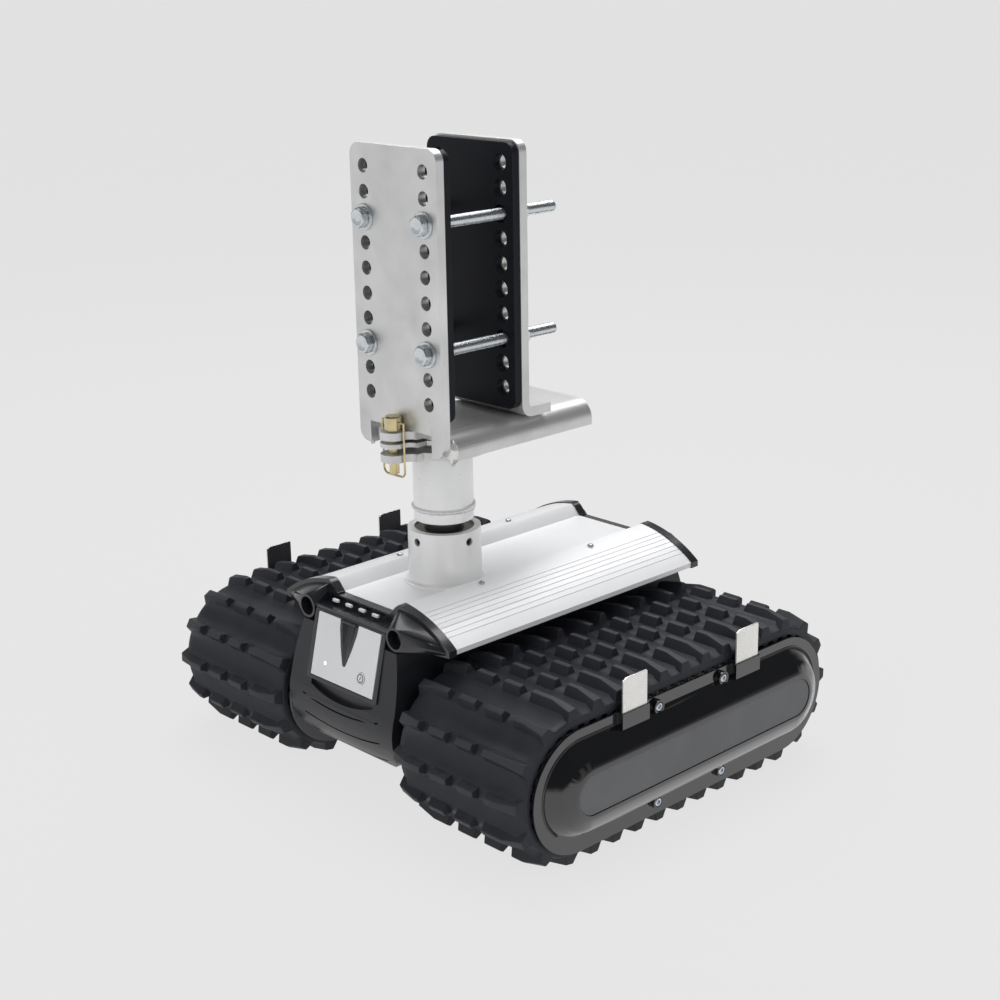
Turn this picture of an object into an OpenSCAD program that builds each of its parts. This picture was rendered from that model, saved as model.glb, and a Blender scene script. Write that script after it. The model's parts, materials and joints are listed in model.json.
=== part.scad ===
// Twin-track motor mover with a swivelling drawbar clamp.
// X runs across the tracks, Y along them, Z up. The control panel faces -Y.
// The origin is on the ground, midway between the tracks and their axles.

/* [Track belts] */
// Pitch of the teeth inside each belt
tooth_pitch = 15.7; // [13:0.1:18]
// Teeth on each drive pulley
pulley_teeth = 25; // [21:2:29]
// Teeth inside each belt, two to a lug
belt_teeth = 64; // [56:4:72]
// Width of each belt
belt_w = 173; // [140:1:220]
// Distance from the centre plane to the inner edge of each belt
belt_inner_x = 93.5; // [92:0.5:110]
// Thickness of the belt carcass between teeth and lugs
carcass_t = 8.2; // [6:0.1:12]
// Height of the belt's inner teeth
tooth_h = 3.6; // [2.5:0.1:5]
// Height of the tread lugs
lug_h = 14; // [8:0.5:20]
// Length of a lug's tip along the belt
lug_tip = 6; // [5:0.5:12]
// Length of a lug's root along the belt
lug_root = 18; // [15:0.5:20]
// Gap between the blocks of one lug row
block_gap = 11; // [6:0.5:16]
// Width of the middle blocks
block_w = 26; // [18:1:34]
// Width of the outer block of the even rows
end_block_w = 41; // [32:1:50]
// Shift of the odd rows towards -X
row_shift = 13; // [6:0.5:16]
// Width of the sloped shoulder at the belt's edges
shoulder_w = 23.5; // [16:0.5:28]
// Fall of the shoulder from its crest to the steep end face
shoulder_fall = 5.6; // [1:0.5:6]

/* [Track frames and covers] */
// Thickness of the frame side plates
side_plate_t = 4; // [3:0.5:6]
// Diameter of the drive shafts
drive_shaft_d = 25; // [20:1:30]
// Diameter of the idler axles
idler_axle_d = 20; // [16:1:26]
// Radius of the side cover's flange
cover_flange_r = 62.5; // [58:0.5:64]
// Radius at the foot of the cover's raised middle
cover_foot_r = 48.5; // [44:0.5:54]
// Radius of the ends of the cover's flat recessed panel
cover_panel_r = 20.5; // [14:0.5:28]
// Rise of the cover's middle above its flange
cover_rise = 18; // [8:0.5:24]
// Wall of the side cover
cover_wall = 2.5; // [2:0.5:4]
// Spacing of the cover screws along the track
cover_screw_y = 96.8; // [80:1:110]
// Width of the bright guide tabs
tab_w = 34; // [26:1:40]
// Height of the guide tabs above the cover's flange
tab_h = 35; // [20:1:45]
// Distance between the centres of the two guide tabs
tab_spacing = 168; // [150:1:180]

/* [Hub] */
// Widest width of the main housing
hub_w = 164; // [150:1:170]
// Height of the housing's underside above the ground
hub_floor_z = 46; // [40:1:52]
// Height of the housing's rim, where the top cover seats
hub_rim_z = 192; // [189:1:196]
// Wall of the main housing
hub_wall = 4; // [3:0.5:6]
// Length of the aluminium top cover
deck_len = 348; // [330:1:360]
// Width over the top cover's lower edges
deck_w = 252; // [236:1:262]
// Height of the flat deck above the ground
deck_z = 205; // [202:1:210]
// Height of the ribs beside the deck above it
rib_h = 12; // [6:0.5:14]
// Width of the flat deck between the ribs
deck_flat_w = 80; // [78:1:90]
// Wall of the top cover
deck_wall = 5; // [4:0.5:6]
// Grooves on each sloping side of the top cover
groove_count = 7; // [3:1:9]
// Width of the control panel
panel_w = 97; // [80:1:104]
// Height of the control panel along its slant
panel_len = 66; // [56:1:68]
// Diameter of the power button
button_d = 11; // [8:0.5:14]
// Diameter of the status lamp
led_d = 4; // [3:0.5:6]

/* [Swivel mast] */
// Distance of the mast axis in front of the hub's centre
mast_y = 72.5; // [60:0.5:85]
// Outer diameter of the collar
collar_d = 76; // [72:1:84]
// Height of the collar above the deck
collar_h = 57.5; // [45:0.5:70]
// Outer diameter of the bronze bush in the collar
bush_d = 62; // [56:1:64]
// Diameter of the swivel neck
neck_d = 38; // [32:1:42]
// Radial running clearance of the neck in its bush
neck_clear = 0.05; // [0.02:0.01:0.1]
// Outer diameter of the mast tube
mast_d = 62; // [56:1:68]
// Gap between the collar and the mast tube
mast_gap = 9; // [5:0.5:16]
// Height of the underside of the pivot plate above the ground
pivot_z = 345; // [320:1:370]
// Diameter of the four screw holes round the collar
collar_hole_d = 8.5; // [6:0.5:10]

/* [Clamp] */
// Width of the clamp plates
plate_w = 126; // [120:1:140]
// Height of the clamp plates
plate_h = 300; // [280:1:340]
// Thickness of the clamp plates
plate_t = 10; // [8:0.5:12]
// Thickness of the clamp pads
pad_t = 8.5; // [6:0.5:12]
// Distance of the fixed plate's front face from the hub's centre
fixed_face_y = 127.5; // [126:0.5:132]
// Gap between the two pads as photographed
jaw_gap = 81.7; // [60:0.5:90]
// Spacing of the two columns of holes
hole_dx = 87.2; // [80:0.1:92]
// Pitch of the holes in each column
hole_pitch = 25; // [22:0.5:26]
// Holes in each column
hole_rows = 10; // [9:1:10]
// Diameter of the plate holes
hole_d = 14; // [13:0.5:15]
// Distance of the top hole below the plate's top
hole_top = 21.6; // [18:0.1:24]
// Thread diameter of the clamp bolts
bolt_d = 12; // [10:0.5:12.5]
// Length of the bolt shanks under the head
bolt_len = 177; // [165:1:200]
// Length of the base channel
channel_len = 203; // [190:1:215]
// Height of the base channel's sides
channel_h = 26; // [20:1:30]
// Diameter of the hitch pin
pin_d = 10; // [8:0.5:12]

/* [Hidden] */
$fn = 64;

// Clearances: a seat between pieces of one body, a gap between moving ones
seat = 0.05;
air = 0.3;
eps = 0.01;

// Belt loop: radii are measured from the wheel centres
cord_depth = 0.7;
pitch_r = pulley_teeth * tooth_pitch / (2 * PI);
land_r = pitch_r - cord_depth;
tooth_tip_r = land_r - tooth_h;
carcass_r = land_r + carcass_t;
tip_r = carcass_r + lug_h;
axle_z = tip_r;
wheel_span = (belt_teeth - pulley_teeth) * tooth_pitch / 2;
axle_y = wheel_span / 2;
wrap_len = pitch_r * PI;
loop_len = 2 * (wheel_span + wrap_len);
lug_count = belt_teeth / 2;
lug_pitch = 2 * tooth_pitch;
// The first lug row stands this far behind the front wheel's top
lug_start = 29.6;
tooth_root = 8.4;
tooth_tip = 6;
belt_outer_x = belt_inner_x + belt_w;
belt_mid_x = (belt_inner_x + belt_outer_x) / 2;

// Track frame: plates stand inside the belt loop, with the pulleys between them
inner_plate_x = belt_inner_x + 1;
guard_x = belt_inner_x - 6.5;
guard_t = 3;
outer_plate_x = belt_outer_x - side_plate_t;
side_plate_r = tooth_tip_r - 2.2;
pulley_x0 = inner_plate_x + side_plate_t + 3;
pulley_x1 = outer_plate_x - 3;
idler_r = tooth_tip_r - air;
rail_end = axle_y - idler_r - 10;
beam_half_h = side_plate_r - 8;
beam_wall = 4;
bearing_od = 42;
bearing_w = 12;
hub_boss_r = 26;
bolt_boss_r = 11;
frame_bolt_y = 44;
frame_bolt_z = 24;
frame_bolt_d = 8;
frame_bolt_len = 24;

// Side cover, outwards of the belt
flange_x = belt_outer_x + 2.5;
flange_t = 2.5;
cover_screw_r = 50.5;
cover_screw_d = 5;
screw_head_d = 9;
panel_recess = 1.5;
tab_t = 2;
tab_x = flange_x + 5.5;
tab_pocket_d = 9;
flange_drop = 2;
flange_top = cover_flange_r - flange_drop;

// Hub housing section: a barrel side with a rounded bottom corner
hub_side_r = 211;
hub_mid_z = 115;
hub_corner_r = 38;
hub_corner_x = hub_w / 2 - hub_corner_r - 2;
hub_nose_r = 61;
hub_nose_y = deck_len / 2 - 14;
hub_nose_z = 97;
panel_top_y = deck_len / 2 + 27;
panel_tilt = 13.4;
panel_t = 2.5;
panel_sink = 1.5;
panel_button_x = 28.5;
panel_led_x = -28.5;
panel_button_up = 16;
scoop_w = 29;
scoop_len = 46;
scoop_depth = 8;

// Pieces sealed inside the hub
battery_half_w = 41;
battery_len = 140;
battery_h = 86;
motor_r = 28;
motor_x = 30.5;
gear_half = 30;
gear_x1 = 55;
gear_boss_x = 66;
shaft_x0 = gear_x1 - 9;

// Top cover section
rib_x = deck_flat_w / 2;
rib_flat = 10;
deck_arc_r = 140;
deck_arc_z = deck_z + rib_h - sqrt(pow(deck_arc_r, 2) - pow(rib_flat, 2));
deck_edge_h = 5;
deck_t = 6;
web_x = 66;
web_t = 4;
side_rim_z = hub_rim_z - 8;

// End caps
cap_t = 10;
cap_proud = 1.2;
horn_x = 68.5;
horn_z = 190.5;
horn_r = 12.5;
horn_y = deck_len / 2 + 29;
horn_bore_r = 9.8;
horn_bore_depth = 15;
vent_count = 4;
vent_pitch = 20.7;
vent_w = 9;
vent_h = 3.2;
deck_screw_d = 4;
deck_screw_x = 63.5;
cap_notch_x = horn_x - horn_r - 2.5;
cap_low_z = horn_z - horn_r - 0.7;
cap_screw_d = 5;
port_r = 4.6;
board_slot_z = horn_z + port_r + 0.8;
board_t = 1.6;

// Mast heights
collar_top_z = deck_z + collar_h;
washer_t = 3;
neck_r = neck_d / 2;
mast_base_z = collar_top_z + mast_gap;
pivot_t = 8;
lower_layer_z = pivot_z + pivot_t + 7;
lower_layer_t = 4.5;
channel_top_z = lower_layer_z + lower_layer_t + 3.5 + 8;
web_plate_t = 8;
shoulder_r = 20;
channel_y0 = -fixed_face_y + plate_t;
channel_half_w = plate_w / 2 - 2;
king_d = 20;
collar_hole_z = collar_top_z - 10.5;
weld_r = 6;

// Clamp places, along Y
pad_front_y = -fixed_face_y + plate_t + pad_t;
jaw_face_y = pad_front_y + jaw_gap;
jaw_plate_y = jaw_face_y + pad_t;
jaw_back_y = jaw_plate_y + plate_t;
plate_low_z = pivot_z + 9;
plate_top_z = plate_low_z + plate_h;
fixed_pad_z = plate_low_z + 34;
jaw_pad_z = plate_low_z + 32;
corner_r = 12;
foot_len = 31;
foot_r = 14;
pad_hole_d = hole_d + 4;
top_hole_z = plate_top_z - hole_top;
head_h = 7.5;
head_af = 18;
washer_d = 26;
bolt_washer_t = 2.5;
nut_h = 10.8;
pin_y = fixed_face_y + 9.5;
ear_r = 13.5;
pin_head_r = 8.5;
pin_head_h = 15;
pin_below = 13;
ring_wire = 2.2;
notch_w = 92;
notch_top_z = channel_top_z + air;
channel_wall = 6;
jaw_low_z = channel_top_z + air;
row_room = top_hole_z - jaw_low_z - foot_r - hole_d / 2;
row_count = min(hole_rows, floor(row_room / hole_pitch) + 1);
bolt_rows = [2, row_count - 3];
pin_tip_z = pivot_z - pin_below;
ring_pivot_z = channel_top_z + air + 9;

function arc_points(cx, cy, r, a0, a1, n) =
    [for (i = [0:n]) let(a = a0 + (a1 - a0) * i / n) [cx + r * cos(a), cy + r * sin(a)]];

function mirrored(half) =
    concat(half, [for (i = [len(half) - 1:-1:0]) [-half[i][0], half[i][1]]]);

// Draws a YZ outline (first coordinate along Y) and extrudes it along +X
module side_extrude(x0, width) {
    translate([x0, 0, 0])
        rotate([90, 0, 90])
            linear_extrude(width)
                children();
}

// Draws an XZ outline and extrudes it along Y from y0 to y0 + depth
module front_extrude(y0, depth) {
    translate([0, y0 + depth, 0])
        rotate([90, 0, 0])
            linear_extrude(depth)
                children();
}

module x_rod(r, x0, length) {
    translate([x0, 0, 0])
        rotate([0, 90, 0])
            cylinder(r = r, h = length);
}

module y_rod(r, y0, length) {
    translate([0, y0, 0])
        rotate([-90, 0, 0])
            cylinder(r = r, h = length);
}

// Racetrack outline round both wheels, centred on the frame
module racetrack(r) {
    for (end = [-1, 1])
        translate([end * axle_y, 0])
            circle(r);
    square([wheel_span, 2 * r], center = true);
}

module at_axle_height() {
    translate([0, 0, axle_z])
        children();
}

module both_ways() {
    children();
    mirror([1, 0, 0])
        children();
}

// Puts a 2D shape drawn above the origin at distance s round the belt loop
module on_loop(s) {
    turn = 180 / (PI * pitch_r);
    if (s < wheel_span)
        translate([-axle_y + s, 0])
            children();
    else if (s < wheel_span + wrap_len)
        translate([axle_y, 0])
            rotate(-(s - wheel_span) * turn)
                children();
    else if (s < 2 * wheel_span + wrap_len)
        translate([axle_y - (s - wheel_span - wrap_len), 0])
            rotate(180)
                children();
    else
        translate([-axle_y, 0])
            rotate(180 - (s - 2 * wheel_span - wrap_len) * turn)
                children();
}

function loop_at(index, pitch) =
    let(s = lug_start + index * pitch) s - loop_len * floor(s / loop_len);

function on_wheel(s) = (s >= wheel_span && s < wheel_span + wrap_len) ||
    s >= 2 * wheel_span + wrap_len;

// A lug with broad sloping faces; on the wheels its tip's edges stay within the tip's radius
module lug_outline(wrapped) {
    corner = wrapped ? sqrt(pow(tip_r, 2) - pow(lug_tip / 2, 2)) : tip_r;
    polygon([[-lug_root / 2, carcass_r - 0.5], [-lug_tip / 2, corner],
        [lug_tip / 2, corner], [lug_root / 2, carcass_r - 0.5]]);
}

module tooth_outline(root, tip, low, high) {
    polygon([[-root / 2, high], [-tip / 2, low], [tip / 2, low], [root / 2, high]]);
}

module lug_rows(odd) {
    for (i = [odd:2:lug_count - 1])
        on_loop(loop_at(i, lug_pitch))
            lug_outline(on_wheel(loop_at(i, lug_pitch)));
}

module belt_carcass() {
    side_extrude(belt_inner_x, belt_w) {
        difference() {
            racetrack(carcass_r);
            racetrack(land_r);
        }
        for (i = [0:belt_teeth - 1])
            on_loop(loop_at(i, tooth_pitch))
                tooth_outline(tooth_root, tooth_tip, tooth_tip_r, land_r + 0.3);
    }
}

// Half outline of the tread's envelope: radius against distance from its crest
function shoulder_outline(depth) = let(run = shoulder_w - 8.3) [[0, -depth], [tip_r + 1, -depth],
    [tip_r + 1, -run / shoulder_fall], [tip_r - shoulder_fall, run],
    [carcass_r - 1, shoulder_w - 1], [0, shoulder_w - 1]];

// Solid that trims the lugs' ends to sloped shoulders and steep end faces; +X is outwards
module shoulder_envelope(depth) {
    for (end = [-1, 1])
        translate([0, end * axle_y, 0])
            rotate([0, 90, 0])
                rotate_extrude()
                    polygon(shoulder_outline(depth));
    rotate([90, 0, 0])
        linear_extrude(wheel_span, center = true)
            rotate(90)
                mirror([0, 1])
                    polygon(mirrored(shoulder_outline(depth)));
}

// Lug blocks of one kind of row, as [start, width] from the belt's inner edge
function block_spans(shift) = let(
        outer = end_block_w + shift,
        third = belt_w - outer - block_gap - block_w,
        second = third - block_gap - block_w)
    [[0, second - block_gap], [second, block_w], [third, block_w], [belt_w - outer, outer]];

module lug_blocks(odd) {
    spans = block_spans(odd * row_shift);
    for (k = [1, 2])
        side_extrude(belt_inner_x + spans[k][0], spans[k][1])
            lug_rows(odd);
    intersection() {
        side_extrude(belt_inner_x + spans[3][0], spans[3][1])
            lug_rows(odd);
        translate([belt_outer_x - shoulder_w, 0, 0])
            shoulder_envelope(spans[3][1]);
    }
    intersection() {
        side_extrude(belt_inner_x + spans[0][0], spans[0][1])
            lug_rows(odd);
        translate([belt_inner_x + shoulder_w, 0, 0])
            mirror([1, 0, 0])
                shoulder_envelope(spans[0][1]);
    }
}

module track_belt() {
    color("#26282b")
        at_axle_height() {
            belt_carcass();
            lug_blocks(0);
            lug_blocks(1);
        }
}

module right_track_belt() {
    track_belt();
}

module left_track_belt() {
    translate([-2 * belt_mid_x, 0, 0])
        track_belt();
}

// Guard over the belt's inner side, on a neck that reaches in to the frame's inner plate
module belt_guard() {
    translate([0, 0, -flange_drop])
        side_extrude(guard_x, guard_t)
            racetrack(cover_flange_r);
    side_extrude(guard_x + guard_t - eps, inner_plate_x - guard_x - guard_t + 2 * eps)
        difference() {
            racetrack(side_plate_r);
            racetrack(side_plate_r - 4);
        }
}

// Frame inside one belt loop: two side plates joined by a hollow beam
module track_frame() {
    color("#8d9196")
        at_axle_height()
            difference() {
                union() {
                    belt_guard();
                    side_extrude(inner_plate_x, side_plate_t)
                        racetrack(side_plate_r);
                    side_extrude(outer_plate_x, side_plate_t)
                        racetrack(side_plate_r);
                    side_extrude(inner_plate_x, belt_outer_x - inner_plate_x)
                        square([2 * rail_end, 2 * beam_half_h], center = true);
                }
                side_extrude(inner_plate_x + side_plate_t, outer_plate_x - inner_plate_x - side_plate_t)
                    square([2 * rail_end + 1, 2 * (beam_half_h - beam_wall)], center = true);
                for (y = [-1, 1])
                    translate([0, y * axle_y, 0])
                        x_rod(hub_boss_r + seat, guard_x - 1, guard_t + 2);
                for (y = [-1, 1], z = [-1, 1])
                    translate([0, y * frame_bolt_y, z * frame_bolt_z])
                        x_rod(bolt_boss_r + seat, guard_x - 1, guard_t + 2);
                translate([0, axle_y, 0]) {
                    x_rod(drive_shaft_d / 2 + 2, inner_plate_x - 1, side_plate_t + 2);
                    x_rod(drive_shaft_d / 2 + seat, outer_plate_x - 1, side_plate_t + 2);
                }
                translate([0, -axle_y, 0])
                    x_rod(idler_axle_d / 2 + seat, inner_plate_x - 1, belt_w + 2);
                for (y = [-1, 1], z = [-1, 1])
                    translate([0, y * frame_bolt_y, z * frame_bolt_z])
                        x_rod(frame_bolt_d / 2 + seat, inner_plate_x - 1, side_plate_t + 2);
                for (y = [-1, 1], z = [-1, 1])
                    translate([0, y * cover_screw_y / 2, z * cover_screw_r])
                        x_rod(cover_screw_d / 2, outer_plate_x - 1, side_plate_t + 2);
            }
}

module right_track_frame() {
    track_frame();
}

module left_track_frame() {
    mirror([1, 0, 0])
        track_frame();
}

// Low-friction rails that carry the belt's teeth between the pulleys
module slider_rails() {
    rail_h = tooth_tip_r - air - beam_half_h;
    color("#d9d6cc")
        at_axle_height()
            for (side = [-1, 1])
                side_extrude(pulley_x0, pulley_x1 - pulley_x0)
                    translate([0, side * (beam_half_h + rail_h / 2)])
                        square([2 * rail_end, rail_h], center = true);
}

module right_slider_rails() {
    slider_rails();
}

module left_slider_rails() {
    mirror([1, 0, 0])
        slider_rails();
}

module drive_shaft() {
    color("#9aa0a6")
        translate([0, axle_y, axle_z]) {
            x_rod(drive_shaft_d / 2, shaft_x0, belt_outer_x - 2 - shaft_x0);
            translate([pulley_x0 + 20, -2.5, drive_shaft_d / 2 - 1])
                cube([pulley_x1 - pulley_x0 - 40, 5, 3]);
        }
}

module right_drive_shaft() {
    drive_shaft();
}

module left_drive_shaft() {
    mirror([1, 0, 0])
        drive_shaft();
}

// Angle at which the first belt tooth lies on the rear wheel
first_wrap_tooth = ceil((wheel_span - lug_start) / tooth_pitch);
groove_angle = 90 - (lug_start + first_wrap_tooth * tooth_pitch - wheel_span) * 180 / (PI * pitch_r);

// Toothed drum, dished at both ends between rim, spokes and keyed boss
module drive_pulley() {
    dish = 26;
    color("#2f3236")
        translate([0, axle_y, axle_z])
            difference() {
                side_extrude(pulley_x0, pulley_x1 - pulley_x0)
                    difference() {
                        circle(land_r - air);
                        for (k = [0:pulley_teeth - 1])
                            rotate(groove_angle - 90 + k * 360 / pulley_teeth)
                                tooth_outline(tooth_root + 1.1, tooth_tip + 0.8,
                                    tooth_tip_r - 0.5, land_r + 0.5);
                        circle(drive_shaft_d / 2 + seat);
                        translate([0, drive_shaft_d / 2 - 0.8])
                            square([5.1, 6], center = true);
                    }
                for (x = [pulley_x0 - 1, pulley_x1 - dish])
                    difference() {
                        x_rod(tooth_tip_r - 8, x, dish + 1);
                        x_rod(drive_shaft_d / 2 + 8, x - 1, dish + 3);
                        for (a = [0, 60, 120])
                            rotate([a, 0, 0])
                                translate([x - 1, -3.5, -tooth_tip_r])
                                    cube([dish + 3, 7, 2 * tooth_tip_r]);
                    }
            }
}

module right_drive_pulley() {
    drive_pulley();
}

module left_drive_pulley() {
    mirror([1, 0, 0])
        drive_pulley();
}

module idler_axle() {
    color("#9aa0a6")
        translate([0, -axle_y, axle_z])
            x_rod(idler_axle_d / 2, gear_boss_x + 0.5, belt_outer_x - gear_boss_x - 0.5);
}

module right_idler_axle() {
    idler_axle();
}

module left_idler_axle() {
    mirror([1, 0, 0])
        idler_axle();
}

// Smooth drum that the tooth tips run on, with a bearing seat in each end
module idler_pulley() {
    dish = 26;
    seat_len = bearing_w + 2;
    color("#2f3236")
        translate([0, -axle_y, axle_z])
            difference() {
                x_rod(idler_r, pulley_x0, pulley_x1 - pulley_x0);
                x_rod(idler_axle_d / 2 + 3, pulley_x0 - 1, pulley_x1 - pulley_x0 + 2);
                for (x = [pulley_x0 - 1, pulley_x1 - seat_len])
                    x_rod(bearing_od / 2 + seat, x, seat_len + 1);
                for (x = [pulley_x0 - 1, pulley_x1 - dish])
                    difference() {
                        x_rod(idler_r - 8, x, dish + 1);
                        x_rod(bearing_od / 2 + 6, x - 1, dish + 3);
                        for (a = [0, 60, 120])
                            rotate([a, 0, 0])
                                translate([x - 1, -3.5, -idler_r])
                                    cube([dish + 3, 7, 2 * idler_r]);
                    }
            }
}

module right_idler_pulley() {
    idler_pulley();
}

module left_idler_pulley() {
    mirror([1, 0, 0])
        idler_pulley();
}

module idler_bearings() {
    color("#c3c7cb")
        translate([0, -axle_y, axle_z])
            for (x = [pulley_x0 + 2, pulley_x1 - 2 - bearing_w])
                difference() {
                    x_rod(bearing_od / 2, x, bearing_w);
                    x_rod(idler_axle_d / 2 + neck_clear, x - 1, bearing_w + 2);
                    for (face = [x - 1, x + bearing_w - 1])
                        difference() {
                            x_rod(bearing_od / 2 - 3.5, face, 2);
                            x_rod(idler_axle_d / 2 + 3.5, face - 1, 4);
                        }
                }
}

module right_idler_bearings() {
    idler_bearings();
}

module left_idler_bearings() {
    mirror([1, 0, 0])
        idler_bearings();
}

// Half section of the cover: radius against height above the flange
function cover_section(inset) = let(crown = cover_panel_r + 3.5) [[0, 0], [cover_foot_r - inset, 0],
    [cover_foot_r - 3 - inset, (cover_rise - inset) * 0.25],
    [(cover_foot_r + crown) / 2 + 1 - inset, (cover_rise - inset) * 0.72],
    [crown + 2 - inset, (cover_rise - inset) * 0.96], [crown - inset, cover_rise - inset],
    [0, cover_rise - inset]];

// Sweeps a half section round both wheels and along the run between them
module cover_sweep(section, length) {
    for (end = [-1, 1])
        translate([0, end * length / 2, 0])
            rotate([0, 90, 0])
                rotate_extrude()
                    polygon(section);
    rotate([90, 0, 0])
        linear_extrude(length, center = true)
            rotate(90)
                mirror([0, 1])
                    polygon(mirrored(section));
}

module at_cover_screws() {
    for (y = [-1, 1], z = [-1, 1])
        translate([0, y * cover_screw_y / 2, z * cover_screw_r])
            children();
}

module at_tabs() {
    for (y = [-1, 1])
        translate([0, y * tab_spacing / 2, 0])
            children();
}

// Domed outer cover with a recessed flat, screw bosses and tab pockets
module side_cover() {
    dome_x = flange_x + flange_t;
    skirt_in = outer_plate_x + side_plate_t;
    color("#1b1d20")
        at_axle_height()
            difference() {
                union() {
                    translate([0, 0, -flange_drop])
                        side_extrude(flange_x, flange_t)
                            racetrack(cover_flange_r);
                    translate([dome_x, 0, 0])
                        cover_sweep(cover_section(0), wheel_span);
                    at_cover_screws()
                        x_rod(screw_head_d / 2 + 2.5, skirt_in, flange_x - skirt_in + 7);
                    at_tabs()
                        translate([flange_x, -tab_w / 2 - 2, flange_top - 16])
                            cube([tab_pocket_d, tab_w + 4, 16]);
                }
                translate([dome_x - flange_t - 1, 0, 0])
                    cover_sweep(cover_section(cover_wall), wheel_span);
                side_extrude(dome_x + cover_rise - panel_recess, panel_recess + 1)
                    racetrack(cover_panel_r);
                at_cover_screws() {
                    x_rod(cover_screw_d / 2 + seat, skirt_in - 1, cover_rise);
                    x_rod(screw_head_d / 2 + 0.4, flange_x + 3, cover_rise);
                }
                at_tabs()
                    translate([tab_x - seat, -tab_w / 2 - 0.2, flange_top - 12])
                        cube([tab_t + 2 * seat, tab_w + 0.4, 14]);
            }
}

module right_side_cover() {
    side_cover();
}

module left_side_cover() {
    mirror([1, 0, 0])
        side_cover();
}

module cover_screws() {
    color("#c9d2da")
        at_axle_height()
            at_cover_screws()
                difference() {
                    union() {
                        x_rod(cover_screw_d / 2, outer_plate_x, flange_x + 3 - outer_plate_x + eps);
                        x_rod(screw_head_d / 2, flange_x + 3, 4);
                    }
                    translate([flange_x + 4.5, 0, 0])
                        rotate([0, 90, 0])
                            cylinder(d = 5, h = 4, $fn = 6);
                }
}

module right_cover_screws() {
    cover_screws();
}

module left_cover_screws() {
    mirror([1, 0, 0])
        cover_screws();
}

// Bright steel tabs with one clipped corner, standing in the cover's pockets
module guide_tabs() {
    clip = 5;
    low = flange_top - 11.7;
    high = flange_top + tab_h;
    color("#d8d4cc")
        at_axle_height()
            at_tabs()
                side_extrude(tab_x, tab_t)
                    polygon([[-tab_w / 2, low], [tab_w / 2, low], [tab_w / 2, high - 1],
                        [tab_w / 2 - 1, high], [-tab_w / 2 + clip, high],
                        [-tab_w / 2, high - clip / 2]]);
}

module right_guide_tabs() {
    guide_tabs();
}

module left_guide_tabs() {
    mirror([1, 0, 0])
        guide_tabs();
}

function hub_front_half(rim) = concat(
    arc_points(hub_corner_x, hub_floor_z + hub_corner_r, hub_corner_r, -90, 0, 8),
    arc_points(hub_w / 2 - hub_side_r, hub_mid_z, hub_side_r,
        -asin((hub_mid_z - hub_floor_z - hub_corner_r - 8) / hub_side_r),
        asin((rim - hub_mid_z) / hub_side_r), 8));

function hub_side_half(rim) = concat(
    arc_points(hub_nose_y, hub_nose_z, hub_nose_r,
        -asin((hub_nose_z - hub_floor_z) / hub_nose_r), 20, 10),
    [[panel_top_y + (rim - hub_rim_z) * 0, rim]]);

module hub_section(rim) {
    polygon(mirrored(hub_front_half(rim)));
}

module hub_length(rim) {
    polygon(mirrored(hub_side_half(rim)));
}

module hub_solid(inset) {
    reach = 2 * (hub_nose_y + hub_nose_r) + 10;
    intersection() {
        front_extrude(-reach / 2, reach)
            offset(delta = -inset)
                hub_section(hub_rim_z + inset);
        side_extrude(-hub_w, 2 * hub_w)
            offset(delta = -inset)
                hub_length(hub_rim_z + inset);
    }
}

module on_panel() {
    translate([0, -panel_top_y, hub_rim_z])
        rotate([-panel_tilt, 0, 0])
            children();
}

// Curved trim lines and the shadow recess below the control panel
module nose_trim() {
    trim_r = 260;
    skin = 2.5;
    intersection() {
        difference() {
            hub_solid(-1);
            hub_solid(skin);
        }
        translate([-panel_w / 2 - 11, -hub_nose_y - hub_nose_r - 5, hub_floor_z])
            cube([panel_w + 22, hub_nose_r, panel_len + 20]);
        front_extrude(-hub_nose_y - hub_nose_r - 5, 60)
            for (z = [52, 74, 96])
                translate([-3, z + trim_r])
                    difference() {
                        circle(trim_r, $fn = 128);
                        circle(trim_r - 1.8, $fn = 128);
                    }
    }
}

module nose_recess() {
    front_extrude(-hub_nose_y - hub_nose_r - 5, 12)
        intersection() {
            translate([0, 107 + 140])
                circle(140, $fn = 96);
            translate([-panel_w / 2, 96])
                square([panel_w, 29]);
        }
}

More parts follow.
